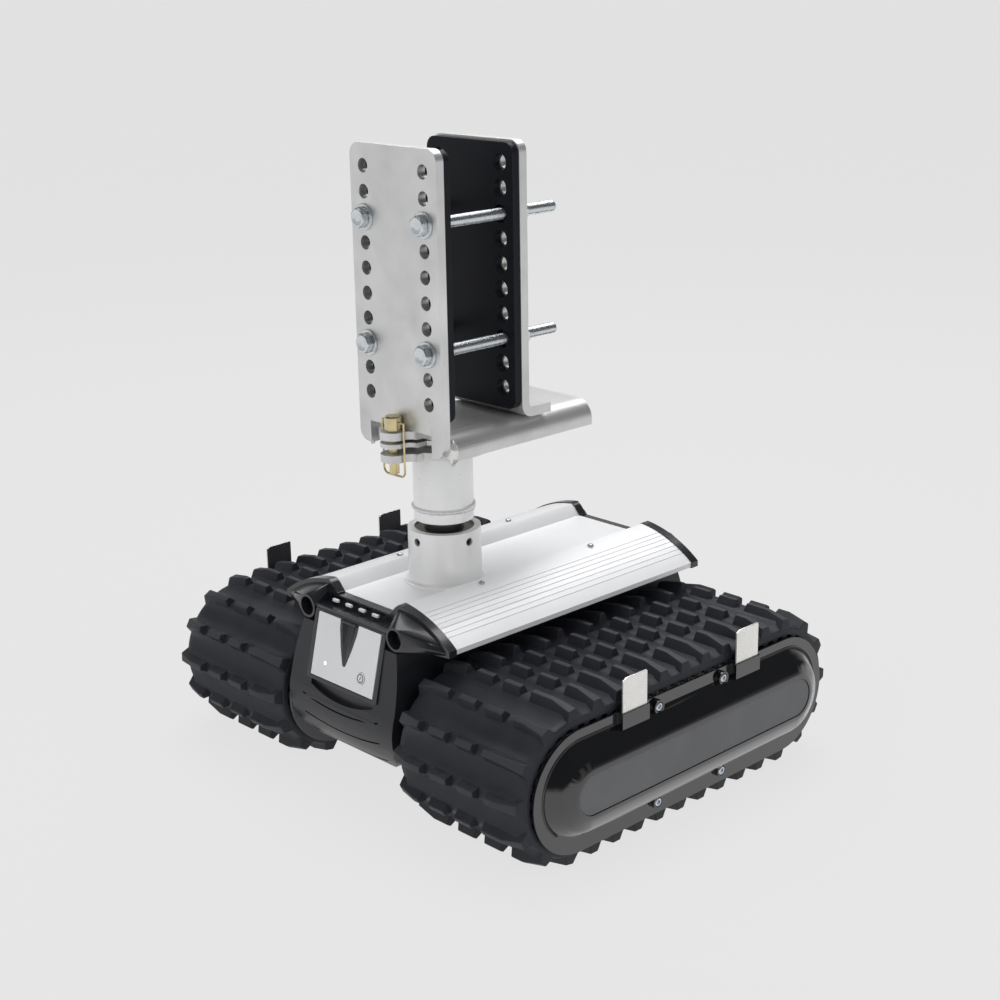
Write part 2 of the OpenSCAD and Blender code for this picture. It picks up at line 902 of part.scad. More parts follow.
// Moulded tub: open on top, with bosses for the axles, frames and gearboxes
module main_housing() {
    boss_in = gear_boss_x;
    boss_len = inner_plate_x - boss_in;
    color("#2d2f33")
        difference() {
            union() {
                difference() {
                    hub_solid(0);
                    hub_solid(hub_wall);
                    nose_trim();
                }
                both_ways() {
                    for (y = [-1, 1])
                        translate([0, y * axle_y, axle_z])
                            x_rod(hub_boss_r, boss_in, boss_len);
                    for (y = [-1, 1], z = [-1, 1])
                        translate([0, y * frame_bolt_y, axle_z + z * frame_bolt_z])
                            x_rod(bolt_boss_r, boss_in, boss_len);
                }
                intersection() {
                    hub_solid(0);
                    on_panel()
                        translate([-panel_w / 2 - 6, 0, -panel_len - 28])
                            cube([panel_w + 12, 13, panel_len + 28]);
                }
            }
            both_ways() {
                translate([0, axle_y, axle_z])
                    x_rod(drive_shaft_d / 2 + 1, boss_in - 1, boss_len + 2);
                translate([0, -axle_y, axle_z])
                    x_rod(idler_axle_d / 2 + seat, boss_in - 1, boss_len + 2);
                for (y = [-1, 1], z = [-1, 1])
                    translate([0, y * frame_bolt_y, axle_z + z * frame_bolt_z])
                        x_rod(frame_bolt_d / 2 + seat, boss_in - 1, boss_len + 2);
            }
            both_ways() {
                for (y = [-1, 1])
                    translate([cap_notch_x, y * (deck_len / 2 + 49.8) - 50, cap_low_z - air])
                        cube([hub_w, 100, 100]);
                translate([cap_notch_x, -deck_len / 2, side_rim_z])
                    cube([hub_w, deck_len, 100]);
            }
            nose_recess();
            on_panel()
                front_extrude(-1, scoop_depth + 1 + seat)
                    translate([0, -2])
                        scoop_outline(0.1);
            on_panel()
                translate([-panel_w / 2 - seat, -10, -panel_len - 3])
                    cube([panel_w + 2 * seat, 10 + panel_sink, panel_len + 4]);
            on_panel()
                translate([0, 0, -panel_len - 2]) {
                    translate([panel_button_x, 0, panel_button_up])
                        y_rod(button_d / 2 + 0.4, -5, 12);
                    translate([panel_led_x, 0, panel_button_up])
                        y_rod(led_d / 2 + 0.1, -5, 12);
                }
        }
}

// Notch in the panel: straight sides that close to a rounded point
module scoop_outline(grow) {
    polygon(mirrored([[scoop_w / 2 + grow, 1], [scoop_w / 2 - 1 + grow, -9],
        [scoop_w / 2 - 5.5 + grow, -26], [scoop_w / 2 - 10 + grow, -39],
        [2.5 + grow, -scoop_len + 1.5], [1 + grow / 2, -scoop_len - grow]]));
}

module control_panel() {
    color("#b9bcc0")
        on_panel()
            difference() {
                front_extrude(panel_sink - panel_t, panel_t)
                    difference() {
                        translate([-panel_w / 2, -panel_len - 2])
                            square([panel_w, panel_len]);
                        translate([0, -2])
                            scoop_outline(0);
                    }
                translate([panel_button_x, 0, panel_button_up - panel_len - 2])
                    y_rod(button_d / 2 + 0.4, -5, 8);
                translate([panel_led_x, 0, panel_button_up - panel_len - 2])
                    y_rod(led_d / 2 + 0.1, -5, 8);
            }
}

// Dark dished insert for a fingertip, with a lip at its top edge
module finger_scoop() {
    low = -scoop_len - 5;
    color("#3a3c40")
        on_panel() {
            difference() {
                front_extrude(panel_sink - panel_t, scoop_depth + panel_t - panel_sink)
                    translate([0, -2])
                        scoop_outline(-0.15);
                translate([0, -9, low])
                    cylinder(r1 = 6, r2 = 14.5, h = 4 - low);
            }
            translate([0, panel_sink - panel_t - 0.6, -3])
                x_rod(1.6, -scoop_w / 2 + 3, scoop_w - 6);
        }
}

module status_lamp() {
    color("#f4f6f8")
        on_panel()
            translate([panel_led_x, 0, panel_button_up - panel_len - 2])
                y_rod(led_d / 2, panel_sink - panel_t - 0.3, 4);
}

module power_button() {
    color("#a9acb0")
        on_panel()
            translate([panel_button_x, 0, panel_button_up - panel_len - 2]) {
                y_rod(button_d / 2, panel_sink - panel_t - 1.2, panel_t + 3);
            }
}

function deck_arc(offset_r, a0, a1, n) =
    arc_points(rib_x, deck_arc_z, deck_arc_r + offset_r, a0, a1, n);

// Right half of the cover's outer line, from the deck out to its lower edge
function deck_outer_half(grow) = let(edge = deck_w / 2 + grow)
    concat([[0, deck_z + grow], [rib_x + 3 - grow, deck_z + grow],
        [rib_x + 10 - grow, deck_z + rib_h * 0.7 + grow / 2]],
        deck_arc(grow, 90 - asin(14 / deck_arc_r), acos((edge - rib_x) / (deck_arc_r + grow)), 14));

deck_edge_z = deck_arc_z + sqrt(pow(deck_arc_r, 2) - pow(deck_w / 2 - rib_x, 2));
deck_screw_z = deck_arc_z + sqrt(pow(deck_arc_r, 2) - pow(deck_screw_x - rib_x, 2)) + 0.6;

function deck_half() = let(
        inner = deck_arc_r - deck_wall,
        slope_end = acos((deck_w / 2 - rib_x) / deck_arc_r))
    concat(deck_outer_half(0), [[deck_w / 2, deck_edge_z - deck_edge_h]],
        [for (i = [0:12])
            let(a = slope_end + 3 + (83 - slope_end - 3) * i / 12)
                [rib_x + inner * cos(a), deck_arc_z + inner * sin(a)]],
        [[rib_x + 2, deck_z - deck_t], [0, deck_z - deck_t]]);

// Hanging webs with a screw port at the foot and a slot for the board
module deck_web() {
    reach = sqrt(pow(deck_arc_r - deck_wall, 2) - pow(web_x + web_t - rib_x, 2));
    difference() {
        union() {
            translate([web_x, side_rim_z])
                square([web_t, deck_arc_z + reach - side_rim_z + 1]);
            translate([horn_x, horn_z])
                circle(port_r);
        }
        translate([horn_x, horn_z])
            circle(cap_screw_d / 2 + seat);
        translate([web_x - 1, board_slot_z])
            square([3, board_t + 0.3]);
    }
}

// Extruded top cover with fine grooves along its sloping sides
module top_cover() {
    slope_end = acos((deck_w / 2 - rib_x) / deck_arc_r);
    first = 74;
    last = slope_end + 6;
    color("#c8cbce")
        difference() {
            union() {
                front_extrude(-deck_len / 2, deck_len)
                    difference() {
                        polygon(mirrored(deck_half()));
                        for (side = [-1, 1], i = [0:groove_count - 1])
                            let(a = first + (last - first) * i / max(groove_count - 1, 1))
                                translate([side * (rib_x + deck_arc_r * cos(a)), deck_arc_z + deck_arc_r * sin(a)])
                                    rotate(side * (a - 90))
                                        square([0.9, 1.4], center = true);
                    }
                both_ways()
                    front_extrude(-deck_len / 2, deck_len)
                        deck_web();
            }
            at_deck_screws()
                cylinder(d = deck_screw_d + 2 * seat, h = 30, center = true);
        }
}

module at_deck_screws() {
    for (side = [-1, 1], y = [-mast_y - 8, mast_y + 8])
        translate([side * deck_screw_x, y, deck_screw_z])
            children();
}

module deck_screws() {
    color("#c9ced3")
        at_deck_screws()
            difference() {
                union() {
                    translate([0, 0, -14])
                        cylinder(d = deck_screw_d, h = 14.2);
                    translate([0, 0, 0.1])
                        cylinder(d = 7, h = 2);
                }
                translate([0, 0, 1])
                    cylinder(d = 3, h = 3, $fn = 6);
            }
}

module cap_profile(grow) {
    difference() {
        polygon(mirrored(concat(deck_outer_half(grow), [[deck_w / 2 + grow, deck_edge_z - deck_edge_h - 1],
            [horn_x + 16, cap_low_z], [cap_notch_x + air, cap_low_z], [cap_notch_x + air, hub_rim_z + 0.1],
            [0, hub_rim_z + 0.1]])));
        translate([-rib_x - 1, deck_z - 0.4])
            square([2 * rib_x + 2, 20]);
    }
}

// Foot of a horn's cone: it follows the cap's curved edge, a little inside it
function cone_foot() = concat(deck_arc(-3, 84, acos((deck_w / 2 - 4 - rib_x) / (deck_arc_r - 3)), 12),
    [[deck_w / 2 - 4, deck_edge_z - deck_edge_h + 1], [horn_x + 10, cap_low_z + 0.5],
    [cap_notch_x + 3, cap_low_z + 0.5], [cap_notch_x + 1, deck_z - 2], [cap_notch_x + 1, deck_z + 4]]);

// Moulded cap that closes one end of the top cover, with two bored horns
module end_cap() {
    face_y = deck_len / 2;
    brow_y = panel_top_y;
    color("#232529")
        difference() {
            union() {
                front_extrude(-face_y - cap_t, cap_t)
                    cap_profile(cap_proud);
                both_ways()
                    hull() {
                        translate([horn_x, 0, horn_z])
                            y_rod(horn_r, -horn_y, 2, $fn = 40);
                        front_extrude(-face_y - cap_t - 0.5, 1)
                            polygon(cone_foot());
                    }
                translate([-horn_x, -brow_y, hub_rim_z + 0.1])
                    cube([2 * horn_x, brow_y - face_y, 4]);
            }
            both_ways() {
                translate([horn_x, 0, horn_z]) {
                    y_rod(horn_bore_r, -horn_y - 1, horn_bore_depth + 1);
                    y_rod(cap_screw_d / 2 + seat, -horn_y, 60);
                }
            }
            for (i = [0:vent_count - 1])
                translate([(i - (vent_count - 1) / 2) * vent_pitch - vent_w / 2 - 6, -face_y - cap_t - 1,
                    deck_z - 6])
                    cube([vent_w, cap_t + 2, vent_h]);
            translate([-cap_notch_x + 2, -face_y - cap_t - 1, hub_rim_z + 4.1])
                cube([2 * cap_notch_x - 4, 4, deck_z - 2.8 - hub_rim_z - 4.1]);
        }
}

module front_end_cap() {
    end_cap();
}

module rear_end_cap() {
    rotate([0, 0, 180])
        end_cap();
}

module at_cap_screws() {
    for (turn = [0, 180])
        rotate([0, 0, turn])
            both_ways()
                translate([horn_x, 0, horn_z])
                    children();
}

module cap_screws() {
    color("#4a4d52")
        at_cap_screws()
            difference() {
                union() {
                    y_rod(cap_screw_d / 2, -horn_y + horn_bore_depth - 1, 30);
                    y_rod(5, -horn_y + horn_bore_depth - 6 + seat, 6 - 2 * seat);
                }
                translate([0, -horn_y + horn_bore_depth - 7, 0])
                    rotate([-90, 0, 0])
                        cylinder(d = 5, h = 4, $fn = 6);
            }
}

module battery_pack() {
    floor_z = hub_floor_z + hub_wall;
    color("#3d4f63")
        difference() {
            translate([-battery_half_w, -battery_len - 14, floor_z])
                cube([2 * battery_half_w, battery_len, battery_h]);
            for (y = [-battery_len + 10, -34])
                translate([-battery_half_w - 1, y, floor_z + 40])
                    cube([2.5, 8, battery_h]);
        }
}

// Circuit board held in the top cover's slots, parts hanging below it
module controller_board() {
    board_w = web_x + 1.6;
    z = board_slot_z + 0.15;
    color("#1f5c3a") {
        translate([-board_w, -150, z])
            cube([2 * board_w, 200, board_t]);
        for (x = [-40, -8, 24])
            translate([x, -120, z - 14])
                cube([16, 40, 14.01]);
        for (y = [-60, -20, 20])
            translate([30, y, z - 18])
                cylinder(d = 12, h = 18.01);
        translate([-50, -50, z - 10])
            cube([60, 60, 10.01]);
    }
}

module motor() {
    color("#4b4e53")
        translate([motor_x, 0, axle_z])
            difference() {
                union() {
                    y_rod(motor_r, 26, axle_y - gear_half - 32);
                    y_rod(motor_r - 4, axle_y - gear_half - 7, 7);
                    y_rod(14, 18, 8.01);
                }
                for (y = [40, 52, 64])
                    difference() {
                        y_rod(motor_r + 1, y, 4);
                        y_rod(motor_r - 1.5, y - 1, 6);
                    }
            }
}

module right_motor() {
    motor();
}

module left_motor() {
    mirror([1, 0, 0])
        motor();
}

// Worm gearbox: cast case with a round output boss against the housing
module gearbox() {
    color("#7b7f84")
        translate([0, axle_y, axle_z])
            difference() {
                union() {
                    translate([6, -gear_half + 0.05, -gear_half + 4])
                        cube([gear_x1 - 6, gear_half, 2 * gear_half - 8]);
                    x_rod(gear_half - 1, 6, gear_x1 - 6);
                    x_rod(18, gear_x1 - 1, gear_boss_x - gear_x1 + 1);
                }
                x_rod(drive_shaft_d / 2 + seat, gear_x1 - 10, 30);
            }
}

module right_gearbox() {
    gearbox();
}

module left_gearbox() {
    mirror([1, 0, 0])
        gearbox();
}

module frame_bolts() {
    head_x = inner_plate_x + side_plate_t;
    color("#3b3e42")
        both_ways()
            for (y = [-1, 1], z = [-1, 1])
                translate([0, y * frame_bolt_y, axle_z + z * frame_bolt_z])
                    difference() {
                        union() {
                            x_rod(frame_bolt_d / 2, head_x - frame_bolt_len, frame_bolt_len + 0.01);
                            x_rod(6.5, head_x, 8);
                        }
                        translate([head_x + 4, 0, 0])
                            rotate([0, 90, 0])
                                cylinder(d = 6.9, h = 6, $fn = 6);
                    }
}

module on_mast() {
    translate([0, -mast_y, 0])
        children();
}

// Collar with its weld flare, bored for the bush
module collar_socket() {
    color("#b9bcbf")
        on_mast()
            difference() {
                union() {
                    translate([0, 0, deck_z])
                        cylinder(d = collar_d, h = collar_h);
                    translate([0, 0, deck_z])
                        intersection() {
                            rotate_extrude()
                                polygon(concat([[0, 0], [collar_d / 2 + weld_r, 0]],
                                    arc_points(collar_d / 2 + weld_r, weld_r + 1, weld_r, -90, -180, 6),
                                    [[0, weld_r + 1]]));
                            translate([-rib_x, -collar_d, -1])
                                cube([2 * rib_x, 2 * collar_d, weld_r + 3]);
                        }
                }
                translate([0, 0, deck_z - 1])
                    cylinder(d = bush_d, h = collar_h + 2);
                for (a = [0:90:270])
                    rotate([0, 0, a])
                        translate([0, 0, collar_hole_z])
                            x_rod(collar_hole_d / 2, bush_d / 2 - 2, collar_d / 2);
            }
}

module collar_screws() {
    color("#3b3e42")
        on_mast()
            for (a = [0:90:270])
                rotate([0, 0, a])
                    translate([0, 0, collar_hole_z])
                        difference() {
                            x_rod(collar_hole_d / 2 - seat, bush_d / 2 + seat, (collar_d - bush_d) / 2 - 2.5);
                            translate([collar_d / 2 - 5, 0, 0])
                                rotate([0, 90, 0])
                                    cylinder(d = 4.6, h = 4, $fn = 6);
                        }
}

module swivel_bush() {
    color("#8f8a80")
        on_mast()
            difference() {
                translate([0, 0, deck_z + washer_t])
                    cylinder(d = bush_d - 2 * seat, h = collar_h - washer_t - 2);
                cylinder(r = neck_r + neck_clear, h = collar_top_z + 1);
                translate([0, 0, collar_top_z - 4])
                    cylinder(r1 = neck_r, r2 = neck_r + 4.01, h = 4.01);
            }
}

module thrust_washer() {
    color("#a58a5a")
        on_mast()
            difference() {
                translate([0, 0, deck_z])
                    cylinder(d = bush_d - 2 * seat, h = washer_t);
                translate([0, 0, deck_z - 1])
                    cylinder(d = king_d, h = washer_t + 2);
            }
}

module swivel_neck() {
    color("#54575b")
        on_mast()
            translate([0, 0, deck_z + washer_t + seat])
                cylinder(r = neck_r, h = mast_base_z + 30 - deck_z - washer_t - seat);
}

module weld_bead(r, z, size) {
    translate([0, 0, z])
        rotate_extrude()
            translate([r, 0])
                circle(size, $fn = 24);
}

module mast_tube() {
    wall = 6;
    color("#b4b7ba")
        on_mast()
            difference() {
                union() {
                    translate([0, 0, mast_base_z])
                        cylinder(d = mast_d, h = pivot_z - mast_base_z);
                    weld_bead(mast_d / 2 - 1.2, mast_base_z + 13, 2.6);
                }
                translate([0, 0, mast_base_z + 30])
                    cylinder(r = mast_d / 2 - wall, h = pivot_z);
                translate([0, 0, mast_base_z - 1])
                    cylinder(r = neck_r + seat, h = 32);
            }
}

// Outline of a plate with an ear towards the hitch pin
module ear_outline(body_r, ear_neck) {
    difference() {
        union() {
            circle(body_r);
            translate([0, mast_y - pin_y])
                circle(ear_r);
            translate([-ear_neck, mast_y - pin_y])
                square([2 * ear_neck, pin_y - mast_y]);
        }
        for (side = [-1, 1])
            translate([side * (ear_r + 9), mast_y - pin_y + 2])
                circle(9);
    }
}

module pivot_plate() {
    color("#aeb1b4")
        on_mast()
            difference() {
                translate([0, 0, pivot_z])
                    linear_extrude(pivot_t)
                        ear_outline(50, ear_r + 9);
                translate([0, 0, pivot_z - 1]) {
                    cylinder(d = king_d + 2 * seat, h = pivot_t + 2);
                    translate([0, mast_y - pin_y, 0])
                        cylinder(r = pin_d / 2 + air, h = pivot_t + 2);
                }
            }
}

module pivot_spacer() {
    color("#8f9296")
        on_mast()
            difference() {
                translate([0, 0, pivot_z + pivot_t])
                    cylinder(r = 30, h = lower_layer_z - pivot_z - pivot_t);
                translate([0, 0, pivot_z])
                    cylinder(d = king_d + 2 * seat, h = 30);
            }
}

// Bolt that ties the bracket to the mast head
module king_bolt() {
    low_z = pivot_z - 14;
    color("#a9afb5")
        on_mast() {
            translate([0, 0, low_z])
                cylinder(d = king_d, h = channel_top_z - web_plate_t - low_z - 1);
            translate([0, 0, low_z - 6])
                cylinder(d = 34, h = 6 + 14 - seat, $fn = 6);
        }
}

// Inverted channel with round shoulders, as drawn across its width
module channel_section(half_w, top, low, r) {
    polygon(mirrored(concat([[half_w, low]],
        arc_points(half_w - r, top - r, r, 0, 90, 10))));
}

module base_channel() {
    top = channel_top_z;
    low = channel_top_z - channel_h;
    ear_top = channel_top_z;
    color("#b2b5b8")
        difference() {
            union() {
                front_extrude(channel_y0, channel_len)
                    difference() {
                        channel_section(channel_half_w, top, low, shoulder_r);
                        channel_section(channel_half_w - channel_wall, top - web_plate_t, low - 1,
                            shoulder_r - channel_wall);
                    }
                on_mast() {
                    translate([0, 0, top - web_plate_t])
                        linear_extrude(web_plate_t)
                            bracket_ear();
                    translate([0, 0, lower_layer_z])
                        linear_extrude(lower_layer_t)
                            bracket_ear();
                    translate([0, 0, lower_layer_z])
                        cylinder(r = 30, h = top - lower_layer_z);
                }
                translate([0, channel_y0 + 4.6, low + 8])
                    weld_lumps();
            }
            on_mast() {
                translate([0, 0, lower_layer_z - 1])
                    cylinder(d = king_d + 2 * seat, h = channel_top_z - web_plate_t - lower_layer_z + 1);
                translate([0, mast_y - pin_y, lower_layer_z - 1])
                    cylinder(r = pin_d / 2 + air, h = 40);
            }
        }
}

module bracket_ear() {
    intersection() {
        ear_outline(46, ear_r + 9);
        translate([-notch_w / 2 + 2, -(pin_y - mast_y) - ear_r])
            square([notch_w - 4, pin_y - mast_y + ear_r + 20]);
    }
}

// Weld at the two foot corners where the channel meets the fixed plate
module weld_lumps() {
    for (side = [-1, 1])
        translate([side * (channel_half_w - 1), 0, 0])
            for (k = [0:2])
                translate([side * (k % 2), 0, k * 5 - 3])
                    sphere(d = 9, $fn = 24);
}

module at_holes(low, high) {
    for (column = [-1, 1], row = [low:high])
        translate([column * hole_dx / 2, 0, top_hole_z - row * hole_pitch])
            children();
}

module at_bolts() {
    for (row = bolt_rows)
        at_holes(row, row)
            children();
}

module rounded_plate(half_w, low, high, r) {
    translate([-half_w + r, low])
        square([2 * (half_w - r), high - low]);
    translate([-half_w, low + r])
        square([2 * half_w, high - low - 2 * r]);
    for (x = [-1, 1], z = [low + r, high - r])
        translate([x * (half_w - r), z])
            circle(r);
}

module fixed_plate() {
    color("#c0c2c4")
        difference() {
            front_extrude(-fixed_face_y, plate_t)
                difference() {
                    rounded_plate(plate_w / 2, plate_low_z, plate_top_z, corner_r);
                    translate([-notch_w / 2, plate_low_z - 1])
                        square([notch_w, notch_top_z - plate_low_z + 1]);
                }
            at_holes(0, row_count - 1)
                y_rod(hole_d / 2, -fixed_face_y - 1, plate_t + 2);
        }
}

module fixed_pad() {
    color("#191b1e")
        difference() {
            front_extrude(-fixed_face_y + plate_t, pad_t)
                rounded_plate(plate_w / 2 - 1, fixed_pad_z, plate_top_z - 2, corner_r - 1);
            at_holes(0, row_count - 1)
                y_rod(pad_hole_d / 2, -fixed_face_y + plate_t - 1, pad_t + 2);
        }
}

module clamp_bolts() {
    seat_y = -fixed_face_y - bolt_washer_t;
    color("#ccd6dd")
        at_bolts()
            difference() {
                union() {
                    y_rod(bolt_d / 2, seat_y - 0.01, bolt_len);
                    translate([0, seat_y - head_h, 0])
                        rotate([-90, 30, 0])
                            cylinder(r = head_af / 2 / cos(30), h = head_h, $fn = 6);
                }
                difference() {
                    y_rod(head_af, seat_y - head_h - 1, 2);
                    translate([0, seat_y - head_h - 1.01, 0])
                        rotate([-90, 0, 0])
                            cylinder(r1 = head_af / 2 - 1, r2 = head_af / 2 + 2.5, h = 2.02);
                }
                y_rod(bolt_d / 2 - 2.5, seat_y - head_h - 1, 1.6);
            }
}

module bolt_washers() {
    color("#c4ccd2")
        at_bolts()
            difference() {
                y_rod(washer_d / 2, -fixed_face_y - bolt_washer_t, bolt_washer_t);
                y_rod(bolt_d / 2 + 0.3, -fixed_face_y - bolt_washer_t - 1, bolt_washer_t + 2);
            }
}

// Moving jaw: an upright plate bent into a foot that slides on the channel
module jaw_plate() {
    color("#bcbec0")
        difference() {
            union() {
                intersection() {
                    front_extrude(jaw_plate_y, plate_t)
                        rounded_plate(plate_w / 2, jaw_low_z - 60, plate_top_z, corner_r);
                    translate([-plate_w, jaw_plate_y - 1, jaw_low_z + foot_r])
                        cube([2 * plate_w, plate_t + 2, plate_top_z]);
                }
                translate([0, jaw_plate_y + foot_r, jaw_low_z])
                    translate([-plate_w / 2, 0, 0])
                        cube([plate_w, foot_len + plate_t - foot_r, plate_t]);
                intersection() {
                    translate([0, jaw_plate_y + foot_r, jaw_low_z + foot_r])
                        difference() {
                            x_rod(foot_r, -plate_w / 2, plate_w);
                            x_rod(foot_r - plate_t, -plate_w / 2 - 1, plate_w + 2);
                        }
                    translate([-plate_w, jaw_plate_y - 1, jaw_low_z - 1])
                        cube([2 * plate_w, foot_r + 1, foot_r + 1]);
                }
            }
            at_holes(0, row_count - 1)
                y_rod(hole_d / 2, jaw_plate_y - 1, plate_t + 2);
        }
}

module jaw_pad() {
    color("#191b1e")
        difference() {
            front_extrude(jaw_face_y, pad_t)
                rounded_plate(plate_w / 2 - 1, jaw_pad_z, plate_top_z - 2, corner_r - 1);
            at_holes(0, row_count - 1)
                y_rod(pad_hole_d / 2, jaw_face_y - 1, pad_t + 2);
        }
}

module clamp_nuts() {
    color("#c4ccd2")
        at_bolts()
            difference() {
                union() {
                    translate([0, jaw_back_y + bolt_washer_t, 0])
                        rotate([-90, 30, 0])
                            cylinder(r = head_af / 2 / cos(30), h = nut_h, $fn = 6);
                    y_rod(12, jaw_back_y, bolt_washer_t + 0.01);
                }
                y_rod(bolt_d / 2 + seat, jaw_back_y - 1, nut_h + bolt_washer_t + 2);
            }
}

module at_pin() {
    translate([0, -pin_y, 0])
        children();
}

// Headed pin through the three ears, cross-drilled for its wire ring
module hitch_pin() {
    color("#c9ad5c")
        at_pin()
            difference() {
                union() {
                    translate([0, 0, pin_tip_z])
                        cylinder(d = pin_d, h = channel_top_z + air - pin_tip_z + 0.01);
                    translate([0, 0, channel_top_z + air])
                        cylinder(r = pin_head_r, h = pin_head_h - 1.5);
                    translate([0, 0, channel_top_z + air + pin_head_h - 1.51])
                        cylinder(r1 = pin_head_r, r2 = pin_head_r - 1.5, h = 1.5);
                }
                translate([0, 0, ring_pivot_z])
                    x_rod(ring_wire / 2 + 0.1, -pin_head_r - 1, 2 * pin_head_r + 2);
                translate([-pin_d, -pin_d, pin_tip_z - 1])
                    cube([2 * pin_d, pin_d - pin_d / 2 + 0.6, 5]);
            }
}

// Wire bail: pivots in the pin's head and reaches round the ears to its tip
module pin_ring() {
    half_w = ear_r + 2.4;
    low_z = pin_tip_z - 2;
    bend = 6;
    wire_r = ring_wire / 2;
    color("#c7a35f")
        at_pin()
            translate([0, 0, 0]) {
                translate([0, 0, ring_pivot_z])
                    x_rod(wire_r, -half_w, 2 * half_w);
                for (side = [-1, 1])
                    translate([side * half_w, 0, low_z + bend])
                        cylinder(r = wire_r, h = ring_pivot_z - low_z - bend);
                for (side = [-1, 1])
                    translate([side * half_w, 0, ring_pivot_z])
                        sphere(r = wire_r);
                for (side = [-1, 1])
                    translate([side * (half_w - bend), 0, low_z + bend])
                        rotate([90, 0, 0])
                            rotate([0, 0, side > 0 ? -90 : 180])
                                rotate_extrude(angle = 90)
                                    translate([bend, 0])
                                        circle(wire_r);
                translate([0, 0, low_z])
                    x_rod(wire_r, -half_w + bend, 2 * (half_w - bend));
            }
}

main_housing();
top_cover();
front_end_cap();
rear_end_cap();
control_panel();
finger_scoop();
status_lamp();
power_button();
battery_pack();
controller_board();
right_motor();
left_motor();
right_gearbox();
left_gearbox();
deck_screws();
cap_screws();
frame_bolts();
collar_socket();
collar_screws();
swivel_bush();
thrust_washer();
right_track_belt();
left_track_belt();
right_track_frame();
left_track_frame();
right_slider_rails();
left_slider_rails();
right_drive_shaft();
left_drive_shaft();
right_drive_pulley();
left_drive_pulley();
right_idler_axle();
left_idler_axle();
right_idler_pulley();
left_idler_pulley();
right_idler_bearings();
left_idler_bearings();
right_side_cover();
left_side_cover();
right_cover_screws();
left_cover_screws();
right_guide_tabs();
left_guide_tabs();
swivel_neck();
mast_tube();
pivot_plate();
pivot_spacer();
king_bolt();
base_channel();
fixed_plate();
fixed_pad();
clamp_bolts();
bolt_washers();
jaw_plate();
jaw_pad();
clamp_nuts();
hitch_pin();
pin_ring();
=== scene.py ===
import bpy
import bmesh
import json
import math
from mathutils import Matrix, Vector


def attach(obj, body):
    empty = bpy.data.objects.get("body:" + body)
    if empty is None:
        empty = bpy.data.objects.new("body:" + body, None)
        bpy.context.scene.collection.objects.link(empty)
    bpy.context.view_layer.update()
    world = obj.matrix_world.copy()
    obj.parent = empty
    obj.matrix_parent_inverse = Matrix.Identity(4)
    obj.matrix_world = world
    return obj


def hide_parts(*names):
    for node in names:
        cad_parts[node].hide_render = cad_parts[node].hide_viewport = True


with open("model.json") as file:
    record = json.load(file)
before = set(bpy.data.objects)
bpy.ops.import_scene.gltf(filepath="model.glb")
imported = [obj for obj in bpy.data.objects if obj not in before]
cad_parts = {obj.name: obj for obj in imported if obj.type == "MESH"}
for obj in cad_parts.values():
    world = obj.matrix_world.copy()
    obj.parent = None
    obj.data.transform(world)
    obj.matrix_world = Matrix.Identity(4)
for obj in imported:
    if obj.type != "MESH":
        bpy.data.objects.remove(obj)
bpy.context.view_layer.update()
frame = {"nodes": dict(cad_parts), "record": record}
cadNodes = frame["nodes"]
print("frame loaded:", len(cadNodes), "nodes")

scene = bpy.context.scene
nodeSlot = {s["node"]: s["material_slot"] for s in frame["record"]["subparts"]}
nodeBody = {n: b for b, names in frame["record"]["behaviour"]["bodies"].items() for n in names}


def newObject(name, data):
    made = bpy.data.objects.new(name, data)
    scene.collection.objects.link(made)
    return made


# camera, at the photograph's angle
photoCamera = {"azimuth": 46.3847, "elevation": 17.3263, "roll": -0.9765, "distance": 1.89028,
               "target": (-0.00545, 0.01293, 0.26824), "lens": 63.6805, "sensor": 36.0, "near": 0.05, "far": 80.0}


def addCamera(spec):
    az, el, roll = (math.radians(spec[k]) for k in ("azimuth", "elevation", "roll"))
    back = Vector((math.sin(az) * math.cos(el), -math.cos(az) * math.cos(el), math.sin(el)))
    level = Vector((math.cos(az), math.sin(az), 0.0))
    right = math.cos(roll) * level + math.sin(roll) * back.cross(level)
    data = bpy.data.cameras.new("photoCamera")
    data.lens = spec["lens"]
    data.sensor_width = spec["sensor"]
    data.clip_start = spec["near"]
    data.clip_end = spec["far"]
    camera = newObject("photoCamera", data)
    turn = Matrix((right, back.cross(right), back)).transposed().to_4x4()
    camera.matrix_world = Matrix.Translation(Vector(spec["target"]) + back * spec["distance"]) @ turn
    scene.camera = camera


addCamera(photoCamera)


# node trees: inputs are fed in order, or by name; other names are the node's own settings
def feed(tree, made, *feeds, **values):
    for key, value in (*enumerate(feeds), *values.items()):
        if isinstance(key, str) and key not in made.inputs.keys():
            setattr(made, key, value)
        elif isinstance(value, bpy.types.NodeSocket):
            tree.links.new(value, made.inputs[key])
        elif value is not None:
            made.inputs[key].default_value = value
    return made


def node(tree, kind, *feeds, **values):
    return feed(tree, tree.nodes.new(kind), *feeds, **values)


def mathNode(tree, operation, a, b, clamp=False):
    return node(tree, "ShaderNodeMath", a, b, operation=operation, use_clamp=clamp).outputs[0]


def rangeNode(tree, value, low, high, toLow=0.0, toHigh=1.0):
    return node(tree, "ShaderNodeMapRange", value, low, high, toLow, toHigh, clamp=True).outputs["Result"]


def noiseNode(tree, given, scale, detail, roughness):
    return node(tree, "ShaderNodeTexNoise", Vector=given.outputs["Vector"], Scale=given.outputs[scale],
                Detail=detail, Roughness=roughness).outputs["Fac"]


